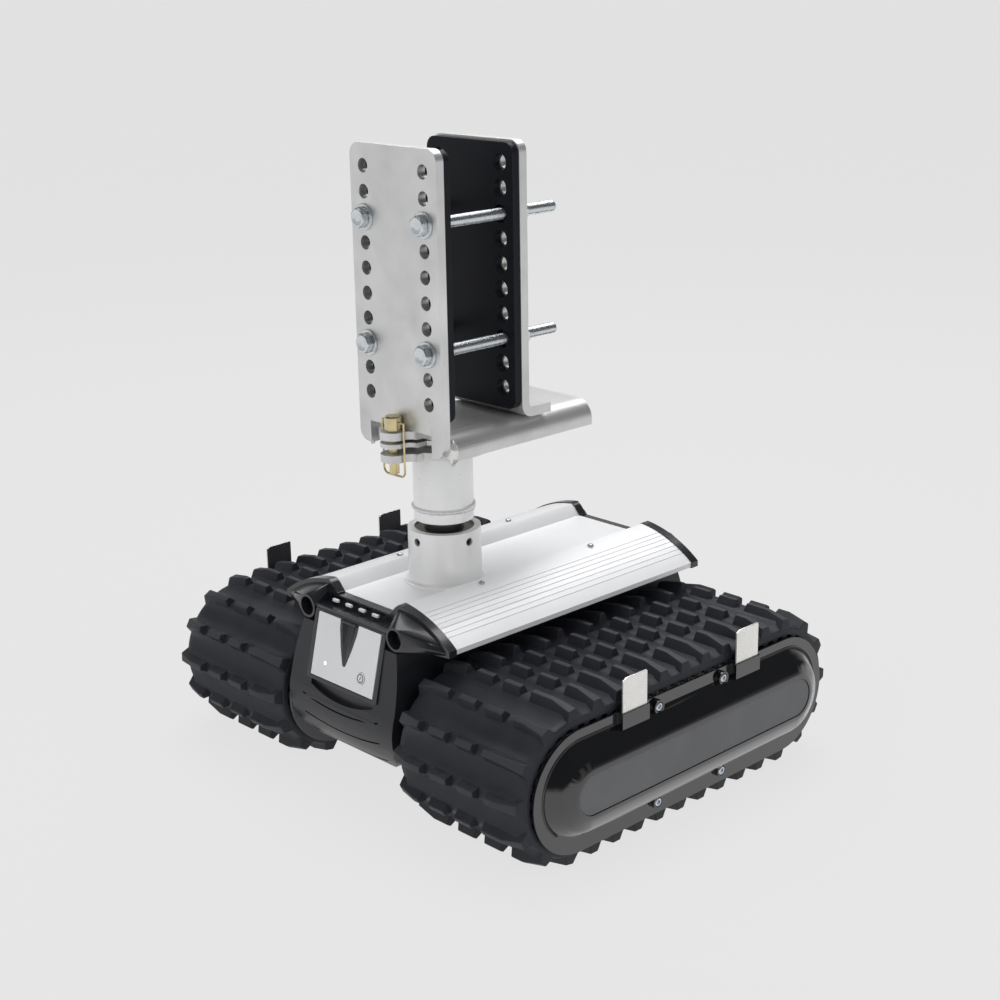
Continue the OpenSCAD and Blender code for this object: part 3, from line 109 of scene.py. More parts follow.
# shader groups: effects that several finishes share
def openGroup(name, inputs, outputs):
    group = bpy.data.node_groups.new(name, "ShaderNodeTree")
    for label, default in {"Vector": None, **inputs}.items():
        kind = "NodeSocketFloat" if isinstance(default, float) else "NodeSocketVector"
        socket = group.interface.new_socket(label, in_out="INPUT", socket_type=kind)
        if default is not None:
            socket.default_value = default
    for label in outputs:
        group.interface.new_socket(label, in_out="OUTPUT", socket_type="NodeSocketFloat")
    return group, group.nodes.new("NodeGroupInput"), group.nodes.new("NodeGroupOutput")


def buildGrainGroup():
    # fine texture of a moulded or cast skin, with a slower mottling of its shade
    tree, given, out = openGroup("mouldedGrain", {"Grain": 900.0, "Mottle": 30.0}, ("Height", "Shade"))
    slow = noiseNode(tree, given, "Mottle", 4.0, 0.55)
    feed(tree, out, Height=noiseNode(tree, given, "Grain", 3.0, 0.6), Shade=rangeNode(tree, slow, 0.3, 0.7))
    return tree


def buildWearGroup():
    # edges rubbed brighter: where a rounded normal leaves the face's own, broken up by noise
    tree, given, out = openGroup("edgeWear", {"Radius": 0.0012, "Breakup": 120.0}, ("Mask",))
    rounded = node(tree, "ShaderNodeBevel", Radius=given.outputs["Radius"], samples=4)
    flat = node(tree, "ShaderNodeNewGeometry")
    facing = node(tree, "ShaderNodeVectorMath", rounded.outputs["Normal"], flat.outputs["Normal"],
                  operation="DOT_PRODUCT")
    edge = rangeNode(tree, facing.outputs["Value"], 0.995, 0.86)
    broken = rangeNode(tree, noiseNode(tree, given, "Breakup", 4.0, 0.65), 0.38, 0.62)
    feed(tree, out, Mask=mathNode(tree, "MULTIPLY", edge, broken))
    return tree


def buildDustGroup():
    # dust that settles on what faces up
    tree, given, out = openGroup("settledDust", {"Patch": 14.0}, ("Mask",))
    flat = node(tree, "ShaderNodeNewGeometry")
    up = rangeNode(tree, node(tree, "ShaderNodeSeparateXYZ", flat.outputs["Normal"]).outputs["Z"], 0.2, 1.0)
    patches = rangeNode(tree, noiseNode(tree, given, "Patch", 6.0, 0.7), 0.35, 0.75)
    feed(tree, out, Mask=mathNode(tree, "MULTIPLY", up, patches))
    return tree


def buildBrushGroup():
    # drawn or brushed lines: noise stretched along one direction
    tree, given, out = openGroup("brushedLines", {"Stretch": (1.0, 1.0, 1.0), "Lines": 400.0}, ("Height", "Streak"))
    scaled = node(tree, "ShaderNodeVectorMath", given.outputs["Vector"], given.outputs["Stretch"],
                  operation="MULTIPLY")
    fine = node(tree, "ShaderNodeTexNoise", Vector=scaled.outputs["Vector"], Scale=given.outputs["Lines"],
                Detail=5.0, Roughness=0.7).outputs["Fac"]
    feed(tree, out, Height=fine, Streak=rangeNode(tree, fine, 0.3, 0.7))
    return tree


def buildZincGroup():
    # cloudy zinc plate: soft-edged cells of slightly different tone
    tree, given, out = openGroup("zincBloom", {"Cells": 60.0, "Cloud": 9.0}, ("Tone", "Height"))
    cells = node(tree, "ShaderNodeTexVoronoi", feature="SMOOTH_F1", Vector=given.outputs["Vector"],
                 Scale=given.outputs["Cells"], Smoothness=0.6)
    cloud = noiseNode(tree, given, "Cloud", 6.0, 0.62)
    tone = mathNode(tree, "ADD", mathNode(tree, "MULTIPLY", cells.outputs["Distance"], 0.35),
                    mathNode(tree, "MULTIPLY", rangeNode(tree, cloud, 0.3, 0.7), 0.75))
    feed(tree, out, Tone=tone, Height=cloud)
    return tree


grainGroup, wearGroup, dustGroup = buildGrainGroup(), buildWearGroup(), buildDustGroup()
brushGroup, zincGroup = buildBrushGroup(), buildZincGroup()


def placeGroup(tree, group, vector, **values):
    return node(tree, "ShaderNodeGroup", node_tree=group, Vector=vector, **values).outputs


def mixColor(tree, factor, a, b):
    a, b = ((*c, 1.0) if isinstance(c, tuple) else c for c in (a, b))
    mixed = node(tree, "ShaderNodeMix", factor, data_type="RGBA")
    return feed(tree, mixed, *(None,) * 6, a, b).outputs[2]


def startMaterial(name, spec):
    material = bpy.data.materials.new(name)
    material.use_nodes = True
    tree = material.node_tree
    shader = feed(tree, tree.nodes["Principled BSDF"], Metallic=spec.get("metal", 0.0), **{
        "Specular IOR Level": spec.get("specular", 0.5), "Coat Weight": spec.get("coat", 0.0),
        "Coat Roughness": spec.get("coatRough", 0.1), "Emission Color": (*spec.get("glow", (0.0, 0.0, 0.0)), 1.0),
        "Emission Strength": 1.0 if "glow" in spec else 0.0})
    return material, tree, shader, node(tree, "ShaderNodeTexCoord").outputs["Object"]


def bumpNode(tree, height, distance):
    return node(tree, "ShaderNodeBump", Strength=1.0, Distance=distance, Height=height).outputs["Normal"]


breakup = {"polymer": 160.0, "metal": 200.0}
dustLook = {"patch": 16.0, "rough": 0.25}
lineRough = 0.06


def polymerMaterial(name, spec):
    # rubber or plastic: grain, mottled shade, rubbed edges and a little dust
    material, tree, shader, place = startMaterial(name, spec)
    grain = placeGroup(tree, grainGroup, place, Grain=spec["grain"], Mottle=spec["mottle"])
    wear = placeGroup(tree, wearGroup, place, Radius=spec["edge"], Breakup=breakup["polymer"])["Mask"]
    dust = placeGroup(tree, dustGroup, place, Patch=dustLook["patch"])["Mask"]
    skin = mixColor(tree, grain["Shade"], spec["dark"], spec["light"])
    rubbed = mixColor(tree, mathNode(tree, "MULTIPLY", wear, spec["wear"]), skin, spec["worn"])
    if "crest" in spec:  # lug tops painted paler, partly as scuffing and partly as a painted highlight of the light on the tops, by the attribute their points carry
        top = node(tree, "ShaderNodeAttribute", attribute_name="crest")
        scuffAndHighlight = rangeNode(tree, top.outputs["Fac"], 0.9, 1.0, 0.0, spec["crest"])
        rubbed = mixColor(tree, scuffAndHighlight, rubbed, spec["worn"])
    dusty = mixColor(tree, mathNode(tree, "MULTIPLY", dust, spec["dust"]), rubbed, spec["dustColor"])
    rough = rangeNode(tree, grain["Shade"], 0.0, 1.0, *spec["rough"])
    duller = mathNode(tree, "MULTIPLY", dust, dustLook["rough"] * spec["dust"])
    feed(tree, shader, Roughness=mathNode(tree, "ADD", rough, duller, True),
         Normal=bumpNode(tree, grain["Height"], spec["bump"]), **{"Base Color": dusty})
    return material


def metalMaterial(name, spec):
    # plated or brushed metal: cloudy tone, drawn lines, brighter edges
    material, tree, shader, place = startMaterial(name, spec)
    zinc = placeGroup(tree, zincGroup, place, Cells=spec["cells"], Cloud=spec["cloud"])
    lines = placeGroup(tree, brushGroup, place, Stretch=spec["stretch"], Lines=spec["lines"])
    wear = placeGroup(tree, wearGroup, place, Radius=spec["edge"], Breakup=breakup["metal"])["Mask"]
    tone = mixColor(tree, zinc["Tone"], spec["dark"], spec["light"])
    streaked = mixColor(tree, mathNode(tree, "MULTIPLY", lines["Streak"], spec["streak"]), tone, spec["worn"])
    rubbed = mixColor(tree, mathNode(tree, "MULTIPLY", wear, spec["wear"]), streaked, spec["worn"])
    rough = mathNode(tree, "ADD", rangeNode(tree, zinc["Tone"], 0.0, 1.0, *reversed(spec["rough"])),
                     mathNode(tree, "MULTIPLY", lines["Streak"], lineRough), True)
    height = mathNode(tree, "ADD", mathNode(tree, "MULTIPLY", zinc["Height"], spec.get("dents", 1.0)),
                      mathNode(tree, "MULTIPLY", lines["Height"], spec.get("scratch", 0.5)))
    feed(tree, shader, Roughness=rough, Normal=bumpNode(tree, height, spec["bump"]), **{"Base Color": rubbed})
    return material


# finishes: one row each, in the order of the keys, with what only a few have in a last dictionary
polymerKeys = ("dark", "light", "worn", "wear", "dust", "dustColor", "rough", "grain", "mottle", "edge", "bump")
polymers = {
    "tread_rubber": ((0.0125, 0.0135, 0.018), (0.019, 0.0205, 0.026), (0.05, 0.052, 0.06), 0.5, 0.1,
        (0.09, 0.09, 0.095), (0.46, 0.62), 1500.0, 26.0, 0.0012, 0.00012, {"specular": 0.32, "crest": 0.3}),
    "pad_rubber": ((0.0045, 0.0055, 0.0085), (0.0075, 0.0088, 0.0125), (0.045, 0.046, 0.052), 0.4, 0.12,
        (0.09, 0.09, 0.088), (0.36, 0.5), 1800.0, 18.0, 0.001, 0.00005, {"specular": 0.16}),
    "cover_gloss": ((0.0028, 0.0031, 0.004), (0.0038, 0.0042, 0.0053), (0.02, 0.02, 0.022), 0.15, 0.0,
        (0.09, 0.09, 0.09), (0.1, 0.15), 260.0, 9.0, 0.0008, 0.000006,
        {"specular": 0.85, "coat": 0.6, "coatRough": 0.08}),
    "housing_black": ((0.009, 0.0096, 0.0125), (0.013, 0.0138, 0.017), (0.05, 0.05, 0.055), 0.25, 0.04,
        (0.12, 0.12, 0.118), (0.3, 0.38), 1400.0, 14.0, 0.0008, 0.00004, {"specular": 0.45}),
    "cap_black": ((0.008, 0.0086, 0.011), (0.012, 0.0128, 0.0155), (0.06, 0.062, 0.07), 0.35, 0.02,
        (0.12, 0.12, 0.118), (0.2, 0.28), 1500.0, 16.0, 0.0008, 0.00002,
        {"specular": 0.5, "coat": 0.3, "coatRough": 0.12}),
    "panel_grey": ((0.56, 0.565, 0.58), (0.6, 0.605, 0.62), (0.7, 0.7, 0.7), 0.1, 0.04, (0.3, 0.3, 0.29), (0.42, 0.5),
        1600.0, 12.0, 0.0005, 0.00003, {"specular": 0.4}),
    "scoop_grey": ((0.02, 0.0205, 0.023), (0.028, 0.0285, 0.031), (0.08, 0.08, 0.084), 0.3, 0.05, (0.12, 0.12, 0.118),
        (0.22, 0.3), 1200.0, 20.0, 0.0006, 0.00002, {"specular": 0.5}),
    "button_grey": ((0.55, 0.555, 0.57), (0.59, 0.595, 0.61), (0.6, 0.6, 0.6), 0.1, 0.02, (0.3, 0.3, 0.29),
        (0.4, 0.48), 1800.0, 40.0, 0.0004, 0.00003, {"specular": 0.4}),
    "battery_blue": ((0.05, 0.085, 0.15), (0.065, 0.105, 0.18), (0.2, 0.24, 0.3), 0.3, 0.05, (0.2, 0.2, 0.2),
        (0.4, 0.5), 900.0, 12.0, 0.001, 0.00005),
    "board_green": ((0.02, 0.12, 0.05), (0.03, 0.16, 0.07), (0.3, 0.3, 0.2), 0.2, 0.03, (0.2, 0.2, 0.2), (0.25, 0.35),
        700.0, 60.0, 0.0005, 0.00003),
    "motor_black": ((0.03, 0.03, 0.034), (0.045, 0.045, 0.05), (0.25, 0.25, 0.26), 0.4, 0.05, (0.2, 0.2, 0.2),
        (0.35, 0.45), 1200.0, 20.0, 0.0008, 0.00004),
    "frame_grey": ((0.075, 0.078, 0.084), (0.1, 0.103, 0.11), (0.35, 0.35, 0.36), 0.4, 0.1, (0.2, 0.2, 0.19),
        (0.4, 0.5), 1200.0, 16.0, 0.001, 0.00005),
    "rail_nylon": ((0.5, 0.49, 0.45), (0.6, 0.59, 0.54), (0.7, 0.7, 0.66), 0.2, 0.1, (0.2, 0.2, 0.19), (0.4, 0.5),
        900.0, 16.0, 0.0008, 0.00004),
    "pulley_black": ((0.02, 0.0205, 0.023), (0.03, 0.0305, 0.034), (0.1, 0.1, 0.104), 0.4, 0.1, (0.12, 0.12, 0.118),
        (0.4, 0.5), 1100.0, 20.0, 0.001, 0.00005),
    "plaque_grey": ((0.085, 0.087, 0.092), (0.105, 0.107, 0.112), (0.2, 0.2, 0.2), 0.2, 0.0, (0.2, 0.2, 0.2),
        (0.5, 0.6), 1900.0, 22.0, 0.0005, 0.00004, {"specular": 0.4}),
    # black for the printed power mark, and for the painted shadow line of the side covers' groove
    "printAndShadowBlack": ((0.008, 0.008, 0.009), (0.012, 0.012, 0.013), (0.05, 0.05, 0.05), 0.1, 0.0, (0.2, 0.2, 0.2),
        (0.4, 0.5), 1900.0, 60.0, 0.0002, 0.00001, {"specular": 0.3}),
    "lamp_clear": ((0.75, 0.77, 0.8), (0.82, 0.84, 0.87), (0.9, 0.9, 0.9), 0.0, 0.0, (0.5, 0.5, 0.5), (0.1, 0.14),
        800.0, 60.0, 0.0003, 0.00001, {"glow": (0.5, 0.52, 0.55)}),
}
metalKeys = ("dark", "light", "worn", "wear", "rough", "cells", "cloud", "stretch", "lines", "streak", "edge", "bump",
             "metal")
metals = {
    "deck_aluminium": ((0.72, 0.725, 0.74), (0.77, 0.775, 0.785), (0.84, 0.84, 0.85), 0.3, (0.44, 0.5), 30.0, 6.0,
        (1.0, 0.012, 1.0), 900.0, 0.1, 0.0008, 0.000015, 0.45, {"dents": 0.1, "scratch": 0.6}),
    "clamp_zinc": ((0.6, 0.605, 0.6), (0.76, 0.765, 0.76), (0.8, 0.8, 0.8), 0.55, (0.3, 0.46), 46.0, 11.0,
        (1.0, 1.0, 0.06), 500.0, 0.12, 0.001, 0.00006, 0.85, {"dents": 1.0, "scratch": 0.4}),
    "mast_zinc": ((0.7, 0.702, 0.705), (0.83, 0.832, 0.835), (0.9, 0.9, 0.9), 0.5, (0.24, 0.34), 40.0, 12.0,
        (0.08, 0.08, 1.0), 300.0, 0.14, 0.001, 0.00002, 0.6, {"dents": 0.5, "scratch": 0.3}),
    "collar_steel": ((0.74, 0.74, 0.745), (0.85, 0.85, 0.855), (0.9, 0.9, 0.9), 0.4, (0.3, 0.4), 40.0, 10.0,
        (0.08, 0.08, 1.0), 600.0, 0.16, 0.0008, 0.00002, 0.55, {"dents": 0.5, "scratch": 0.5}),
    "bolt_zinc": ((0.64, 0.68, 0.71), (0.73, 0.77, 0.8), (0.9, 0.9, 0.9), 0.4, (0.18, 0.3), 160.0, 60.0,
        (1.0, 1.0, 1.0), 900.0, 0.1, 0.0005, 0.00001, 0.95),
    "screw_zinc": ((0.55, 0.6, 0.66), (0.7, 0.76, 0.82), (0.9, 0.9, 0.9), 0.3, (0.16, 0.26), 200.0, 90.0,
        (1.0, 1.0, 1.0), 900.0, 0.1, 0.0003, 0.00002, 0.95),
    "screw_dark": ((0.05, 0.052, 0.056), (0.085, 0.087, 0.092), (0.3, 0.3, 0.31), 0.35, (0.3, 0.42), 200.0, 90.0,
        (1.0, 1.0, 1.0), 900.0, 0.1, 0.0003, 0.00002, 0.8),
    "tab_nickel": ((0.72, 0.71, 0.69), (0.8, 0.79, 0.77), (0.92, 0.92, 0.9), 0.4, (0.2, 0.28), 60.0, 20.0,
        (1.0, 1.0, 0.05), 700.0, 0.12, 0.0004, 0.00002, 0.7),
    "pin_yellow": ((0.56, 0.43, 0.2), (0.76, 0.66, 0.4), (0.86, 0.8, 0.62), 0.4, (0.18, 0.3), 120.0, 40.0,
        (1.0, 1.0, 1.0), 700.0, 0.12, 0.0004, 0.00003, 0.95),
    "neck_steel": ((0.1, 0.1, 0.105), (0.16, 0.16, 0.165), (0.4, 0.4, 0.4), 0.3, (0.22, 0.32), 60.0, 20.0,
        (0.08, 0.08, 1.0), 700.0, 0.15, 0.0005, 0.00003, 0.9),
    "bush_bronze": ((0.1, 0.09, 0.075), (0.16, 0.145, 0.12), (0.4, 0.37, 0.3), 0.3, (0.3, 0.4), 90.0, 30.0,
        (1.0, 1.0, 1.0), 900.0, 0.1, 0.0005, 0.00003, 0.9),
    "shaft_steel": ((0.42, 0.43, 0.44), (0.55, 0.56, 0.57), (0.75, 0.75, 0.75), 0.3, (0.22, 0.32), 60.0, 20.0,
        (0.05, 1.0, 1.0), 700.0, 0.15, 0.0005, 0.00003, 0.95),
    "gearbox_cast": ((0.36, 0.365, 0.37), (0.5, 0.505, 0.51), (0.7, 0.7, 0.7), 0.4, (0.42, 0.55), 260.0, 30.0,
        (1.0, 1.0, 1.0), 900.0, 0.08, 0.001, 0.00012, 0.8),
}


def makeFinishes(keys, rows, make):
    for name, row in rows.items():
        spec = dict(zip(keys, row))
        spec.update(*row[len(keys):])
        finishes[name] = make(name, spec)


finishes = {}
makeFinishes(polymerKeys, polymers, polymerMaterial)
makeFinishes(metalKeys, metals, metalMaterial)
print("finishes made:", len(finishes))

for name, cad in cadNodes.items():
    cad.data.materials.clear()
    cad.data.materials.append(finishes[nodeSlot[name]])


def smoothAll(piece):
    piece.data.polygons.foreach_set("use_smooth", [True] * len(piece.data.polygons))


def smoothByAngle(piece, angle):
    # sharp edges are marked where faces meet steeply, so round walls shade smoothly
    smoothAll(piece)
    mesh = bmesh.new()
    mesh.from_mesh(piece.data)
    limit = math.radians(angle)
    for edge in mesh.edges:
        edge.smooth = not (len(edge.link_faces) == 2 and edge.calc_face_angle(0.0) > limit)
    mesh.to_mesh(piece.data)
    mesh.free()


def addBevel(piece, width, segments, corner):
    bevel = piece.modifiers.new("edges", "BEVEL")
    bevel.width = width
    bevel.segments = segments
    bevel.limit_method = "ANGLE"
    bevel.angle_limit = math.radians(corner)
    return bevel


def settle(piece):
    # turns the evaluated shape into a plain mesh and drops the modifiers
    result = bpy.data.meshes.new_from_object(piece.evaluated_get(bpy.context.evaluated_depsgraph_get()))
    piece.modifiers.clear()
    piece.data = result
    return piece


# CAD pieces with softened edges: the node's own form, merged, rounded and shaded
mergeWithin, flatWithin = 2e-6, 0.6


def dressNode(name, width, segments=2, corner=32):
    mesh = bmesh.new()
    mesh.from_mesh(cadNodes[name].data)
    bmesh.ops.remove_doubles(mesh, verts=mesh.verts, dist=mergeWithin)
    bmesh.ops.dissolve_limit(mesh, angle_limit=math.radians(flatWithin), verts=mesh.verts, edges=mesh.edges)
    data = bpy.data.meshes.new(name + "Dressed")
    mesh.to_mesh(data)
    mesh.free()
    piece = newObject(name + "Dressed", data)
    data.materials.clear()
    data.materials.append(finishes[nodeSlot[name]])
    if width > 0:
        bevel = addBevel(piece, width, segments, corner)
        bevel.harden_normals = True
        bevel.miter_outer = "MITER_ARC"
    smoothByAngle(piece, corner)
    settle(piece)
    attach(piece, nodeBody[name])
    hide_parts(name)
    return piece


# each node's edge radius, then its segments and corner angle where they differ
dressedNodes = {
    "main_housing": (0.0012,), "top_cover": (0.0005,), "front_end_cap": (0.0012, 2, 48),
    "rear_end_cap": (0.0012, 2, 48), "control_panel": (0.0004,), "finger_scoop": (0.0005,),
    "status_lamp": (0.0004,), "power_button": (0.0005,), "right_side_cover": (0.0009, 3),
    "left_side_cover": (0.0009, 3), "right_guide_tabs": (0.0005,), "left_guide_tabs": (0.0005,),
    "collar_socket": (0.001, 3), "mast_tube": (0.0008,), "swivel_neck": (0.0005,), "swivel_bush": (0.0004,),
    "pivot_plate": (0.0008,), "pivot_spacer": (0.0006,), "base_channel": (0.0009,), "fixed_plate": (0.0012, 3),
    "fixed_pad": (0.001,), "jaw_plate": (0.0012, 3), "jaw_pad": (0.001,), "hitch_pin": (0.0006,), "pin_ring": (0.0,),
    "king_bolt": (0.0008,), "right_track_frame": (0.0006,), "left_track_frame": (0.0006,),
    "collar_screws": (0.0002,), "cap_screws": (0.0003,),
}
tabHubSideBlack = {"finish": "motor_black", "facing": 0.7}
for name, spec in dressedNodes.items():
    piece = dressNode(name, *spec)
    if name.endswith("guide_tabs"):  # faces that point towards the hub are given a black finish
        piece.data.materials.append(finishes[tabHubSideBlack["finish"]])
        inward = -1 if name.startswith("right") else 1
        for face in piece.data.polygons:
            if face.normal.x * inward > tabHubSideBlack["facing"]:
                face.material_index = 1
print("dressed nodes:", len(dressedNodes))


# shapes made in code, in millimetres, then scaled to metres
boxFaces = ((0, 1, 2, 3), (7, 6, 5, 4), (0, 4, 5, 1), (1, 5, 6, 2), (2, 6, 7, 3), (3, 7, 4, 0))


def tubeFaces(rings, sides, closed=False):
    # faces from ring to ring; a closed tube joins its last ring to its first, an open one is capped
    faces = []
    for i in range(rings if closed else rings - 1):
        a, b = i * sides, (i + 1) % rings * sides
        faces += [(a + k, a + (k + 1) % sides, b + (k + 1) % sides, b + k) for k in range(sides)]
    if not closed:
        faces += [tuple(range(sides)), tuple(range((rings - 1) * sides, rings * sides))]
    return faces


def shifted(faces, first):
    return [tuple(first + k for k in face) for face in faces]


def addPiece(name, points, faces, slot, finish=None):
    data = bpy.data.meshes.new(name)
    data.from_pydata([(x / 1000, y / 1000, z / 1000) for x, y, z in points], [], faces)
    mesh = bmesh.new()
    mesh.from_mesh(data)
    bmesh.ops.remove_doubles(mesh, verts=mesh.verts, dist=1e-7)
    bmesh.ops.recalc_face_normals(mesh, faces=mesh.faces)
    mesh.to_mesh(data)
    mesh.free()
    data.materials.append(finishes[finish or slot])
    return newObject(name, data)


def softenEdges(piece, width=0.0, segments=2, corner=28):
    smoothAll(piece)
    if width > 0:
        addBevel(piece, width / 1000, segments, corner)
    evenOut = piece.modifiers.new("shading", "WEIGHTED_NORMAL")
    evenOut.keep_sharp = True
    return settle(piece)


def finishPiece(piece, body, slot, *nodes):
    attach(piece, body)
    if nodes:
        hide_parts(*nodes)
    return piece


# each tread belt is one loop of carcass, with its lug rows and teeth set out along it
tread = {"width": 173.0, "starts": {"right": 93.5, "left": -266.5}, "wheelSpan": 306.15, "pitchRadius": 62.4683,
         "axleHeight": 83.9683, "landDepth": 0.7, "carcass": 8.2, "lugHeight": 14.0, "lugCrest": 6.0, "lugRoot": 17.0,
         "lugSunk": 0.5, "sideDraft": 2.0, "lugRows": 32, "teeth": 64, "toothHeight": 3.6, "toothRoot": 8.4,
         "toothTip": 6.0, "toothSunk": 0.3, "toothInset": 0.4, "firstRow": 29.6, "gap": 11.0, "block": 26.0,
         "endBlock": 41.0, "rowShift": 13.0, "shoulder": 25.0, "shoulderFall": 5.2, "endFace": 1.6, "edgeRound": 1.0,
         "footInset": 0.4, "footDrop": -2.4, "ridge": 6.0, "ridgeTop": 5.0, "ridgeFoot": 14.8, "ridgeInset": 10.0,
         "wheelSteps": 60, "rowSteps": (4.5, 6.5, 8.5, 10.5, 13.0), "crestFacing": 0.75}
tread["wrap"] = math.pi * tread["pitchRadius"]
tread["loop"] = 2 * (tread["wheelSpan"] + tread["wrap"])


def loopPoint(along):
    # place and turn on the pitch line, a distance along the loop from the front wheel's top
    span, radius, wrap = tread["wheelSpan"], tread["pitchRadius"], tread["wrap"]
    along = along % tread["loop"]
    if along < span:
        return along - span / 2, radius, 0.0
    if along < span + wrap:
        turn = (along - span) / radius
        return span / 2 + radius * math.sin(turn), radius * math.cos(turn), turn
    if along < 2 * span + wrap:
        return span / 2 - (along - span - wrap), -radius, math.pi
    turn = math.pi + (along - 2 * span - wrap) / radius
    return -span / 2 + radius * math.sin(turn), radius * math.cos(turn), turn


def makeLoopPath(name):
    # the pitch line as a closed curve that begins at the first lug row, in even steps round each wheel
    span, wrap, steps = tread["wheelSpan"], tread["wrap"], tread["wheelSteps"]
    stations = [start + wrap * i / steps for start in (span, 2 * span + wrap) for i in range(steps + 1)]
    stations = sorted((s - tread["firstRow"]) % tread["loop"] for s in stations)
    stations = [0.0] + [s for s in stations if s > 1e-6]
    data = bpy.data.curves.new(name, "CURVE")
    data.dimensions = "3D"
    line = data.splines.new("POLY")
    line.points.add(len(stations) - 1)
    for point, s in zip(line.points, stations):
        y, z, _ = loopPoint(s + tread["firstRow"])
        point.co = (0.0, y / 1000, (z + tread["axleHeight"]) / 1000, 1.0)
    line.use_cyclic_u = True
    return newObject(name, data)


def makeCarcass(side):
    # rubber section with rounded edges, swept round the loop; a soft ridge carries each lug row
    low, inset = tread["starts"][side], tread["ridgeInset"]
    high = low + tread["width"]
    base, top = -tread["landDepth"], tread["carcass"] - tread["landDepth"]
    edge = ((0.0, base + 0.6), (0.0, top - 2.6), (0.7, top - 0.9), (2.4, top), (inset, top))
    section = [(low + x, h) for x, h in edge] + [(high - x, h) for x, h in reversed(edge)]
    section += [(high - 0.6, base), (low + 0.6, base)]
    raised = (len(edge) - 1, len(edge))
    pitch = tread["loop"] / tread["lugRows"]
    offsets = (-pitch / 2, *(-s for s in reversed(tread["rowSteps"])), 0.0, *tread["rowSteps"])
    stations = [(tread["firstRow"] + row * pitch, offset) for row in range(tread["lugRows"]) for offset in offsets]
    points = []
    for s, offset in stations:
        y, z, turn = loopPoint(s + offset)
        rise = (tread["ridgeFoot"] - abs(offset)) / (tread["ridgeFoot"] - tread["ridgeTop"])
        ridge = tread["ridge"] * min(1.0, max(0.0, rise)) ** 2
        for k, (x, h) in enumerate(section):
            h += ridge * (k in raised)
            points.append((x, y + h * math.sin(turn), z + h * math.cos(turn) + tread["axleHeight"]))
    return addPiece(side + "Tread", points, tubeFaces(len(stations), len(section), True), "tread_rubber")


def lugBlock(profile, points, faces):
    # profile: (x, height) round the block seen from the front; both faces slope in towards the crest
    root, sunk = tread["lugRoot"] / 2, tread["lugSunk"]
    slope = (tread["lugRoot"] - tread["lugCrest"]) / 2 / (tread["lugHeight"] + sunk)
    foot = tread["carcass"] - tread["landDepth"]
    faces += shifted(tubeFaces(2, len(profile)), len(points))
    for front in (-1, 1):
        points += [(x, front * (root - slope * (h + sunk)), foot + h) for x, h in profile]


def makeLugRow(side, odd):
    # four blocks across the belt; odd rows are shifted, and the end blocks fall away at the shoulders
    t, low = tread, tread["starts"][side]
    outer = t["endBlock"] + odd * t["rowShift"]
    third = t["width"] - outer - t["gap"] - t["block"]
    second = third - t["gap"] - t["block"]
    high, draft, root = t["lugHeight"], t["sideDraft"], -t["lugSunk"]
    points, faces = [], []
    for x0 in (low + second, low + third):
        x1 = x0 + t["block"]
        lugBlock([(x0, root), (x0 + draft, high), (x1 - draft, high), (x1, root)], points, faces)
    for edge, inner, way in ((low + t["width"], low + t["width"] - outer, 1), (low, low + second - t["gap"], -1)):
        lugBlock([(inner, root), (inner + way * draft, high), (edge - way * t["shoulder"], high),
                  (edge - way * t["endFace"], high - t["shoulderFall"]), (edge - way * t["footInset"], t["footDrop"])],
                 points, faces)
    row = softenEdges(addPiece(side + ("OddRow" if odd else "EvenRow"), points, faces, "tread_rubber"), t["edgeRound"])
    # lug top faces are marked for the paler paint: part scuffing, part painted highlight of the light on the tops
    crest = [0.0] * len(row.data.vertices)
    for face in row.data.polygons:
        if face.normal.z > t["crestFacing"]:
            for k in face.vertices:
                crest[k] = 1.0
    row.data.attributes.new("crest", "FLOAT", "POINT").data.foreach_set("value", crest)
    return row


def makeTooth(side):
    start, inset = tread["starts"][side], tread["toothInset"]
    low, high = start + inset, start + tread["width"] - inset
    base, root, tip = -tread["landDepth"] + tread["toothSunk"], tread["toothRoot"] / 2, tread["toothTip"] / 2
    deep = -tread["landDepth"] - tread["toothHeight"]
    points = [(x, y, z) for x in (low, high) for y, z in ((-root, base), (-tip, deep), (tip, deep), (root, base))]
    return softenEdges(addPiece(side + "Tooth", points, boxFaces, "tread_rubber"), 0.4, 1)


def newTree(name, inputs):
    tree = bpy.data.node_groups.new(name, "GeometryNodeTree")
    sockets = {label: tree.interface.new_socket(label, in_out="INPUT", socket_type="NodeSocket" + kind).identifier
               for label, kind in inputs.items()}
    tree.interface.new_socket("Result", in_out="OUTPUT", socket_type="NodeSocketGeometry")
    return tree, sockets, tree.nodes.new("NodeGroupInput").outputs, tree.nodes.new("NodeGroupOutput")


def closeTree(tree, given, out, geometry):
    # instances are made real and painted, because an export drops instances
    real = node(tree, "GeometryNodeRealizeInstances", geometry)
    paint = node(tree, "GeometryNodeSetMaterial", Geometry=real.outputs[0], Material=given["Finish"])
    feed(tree, out, paint.outputs[0])


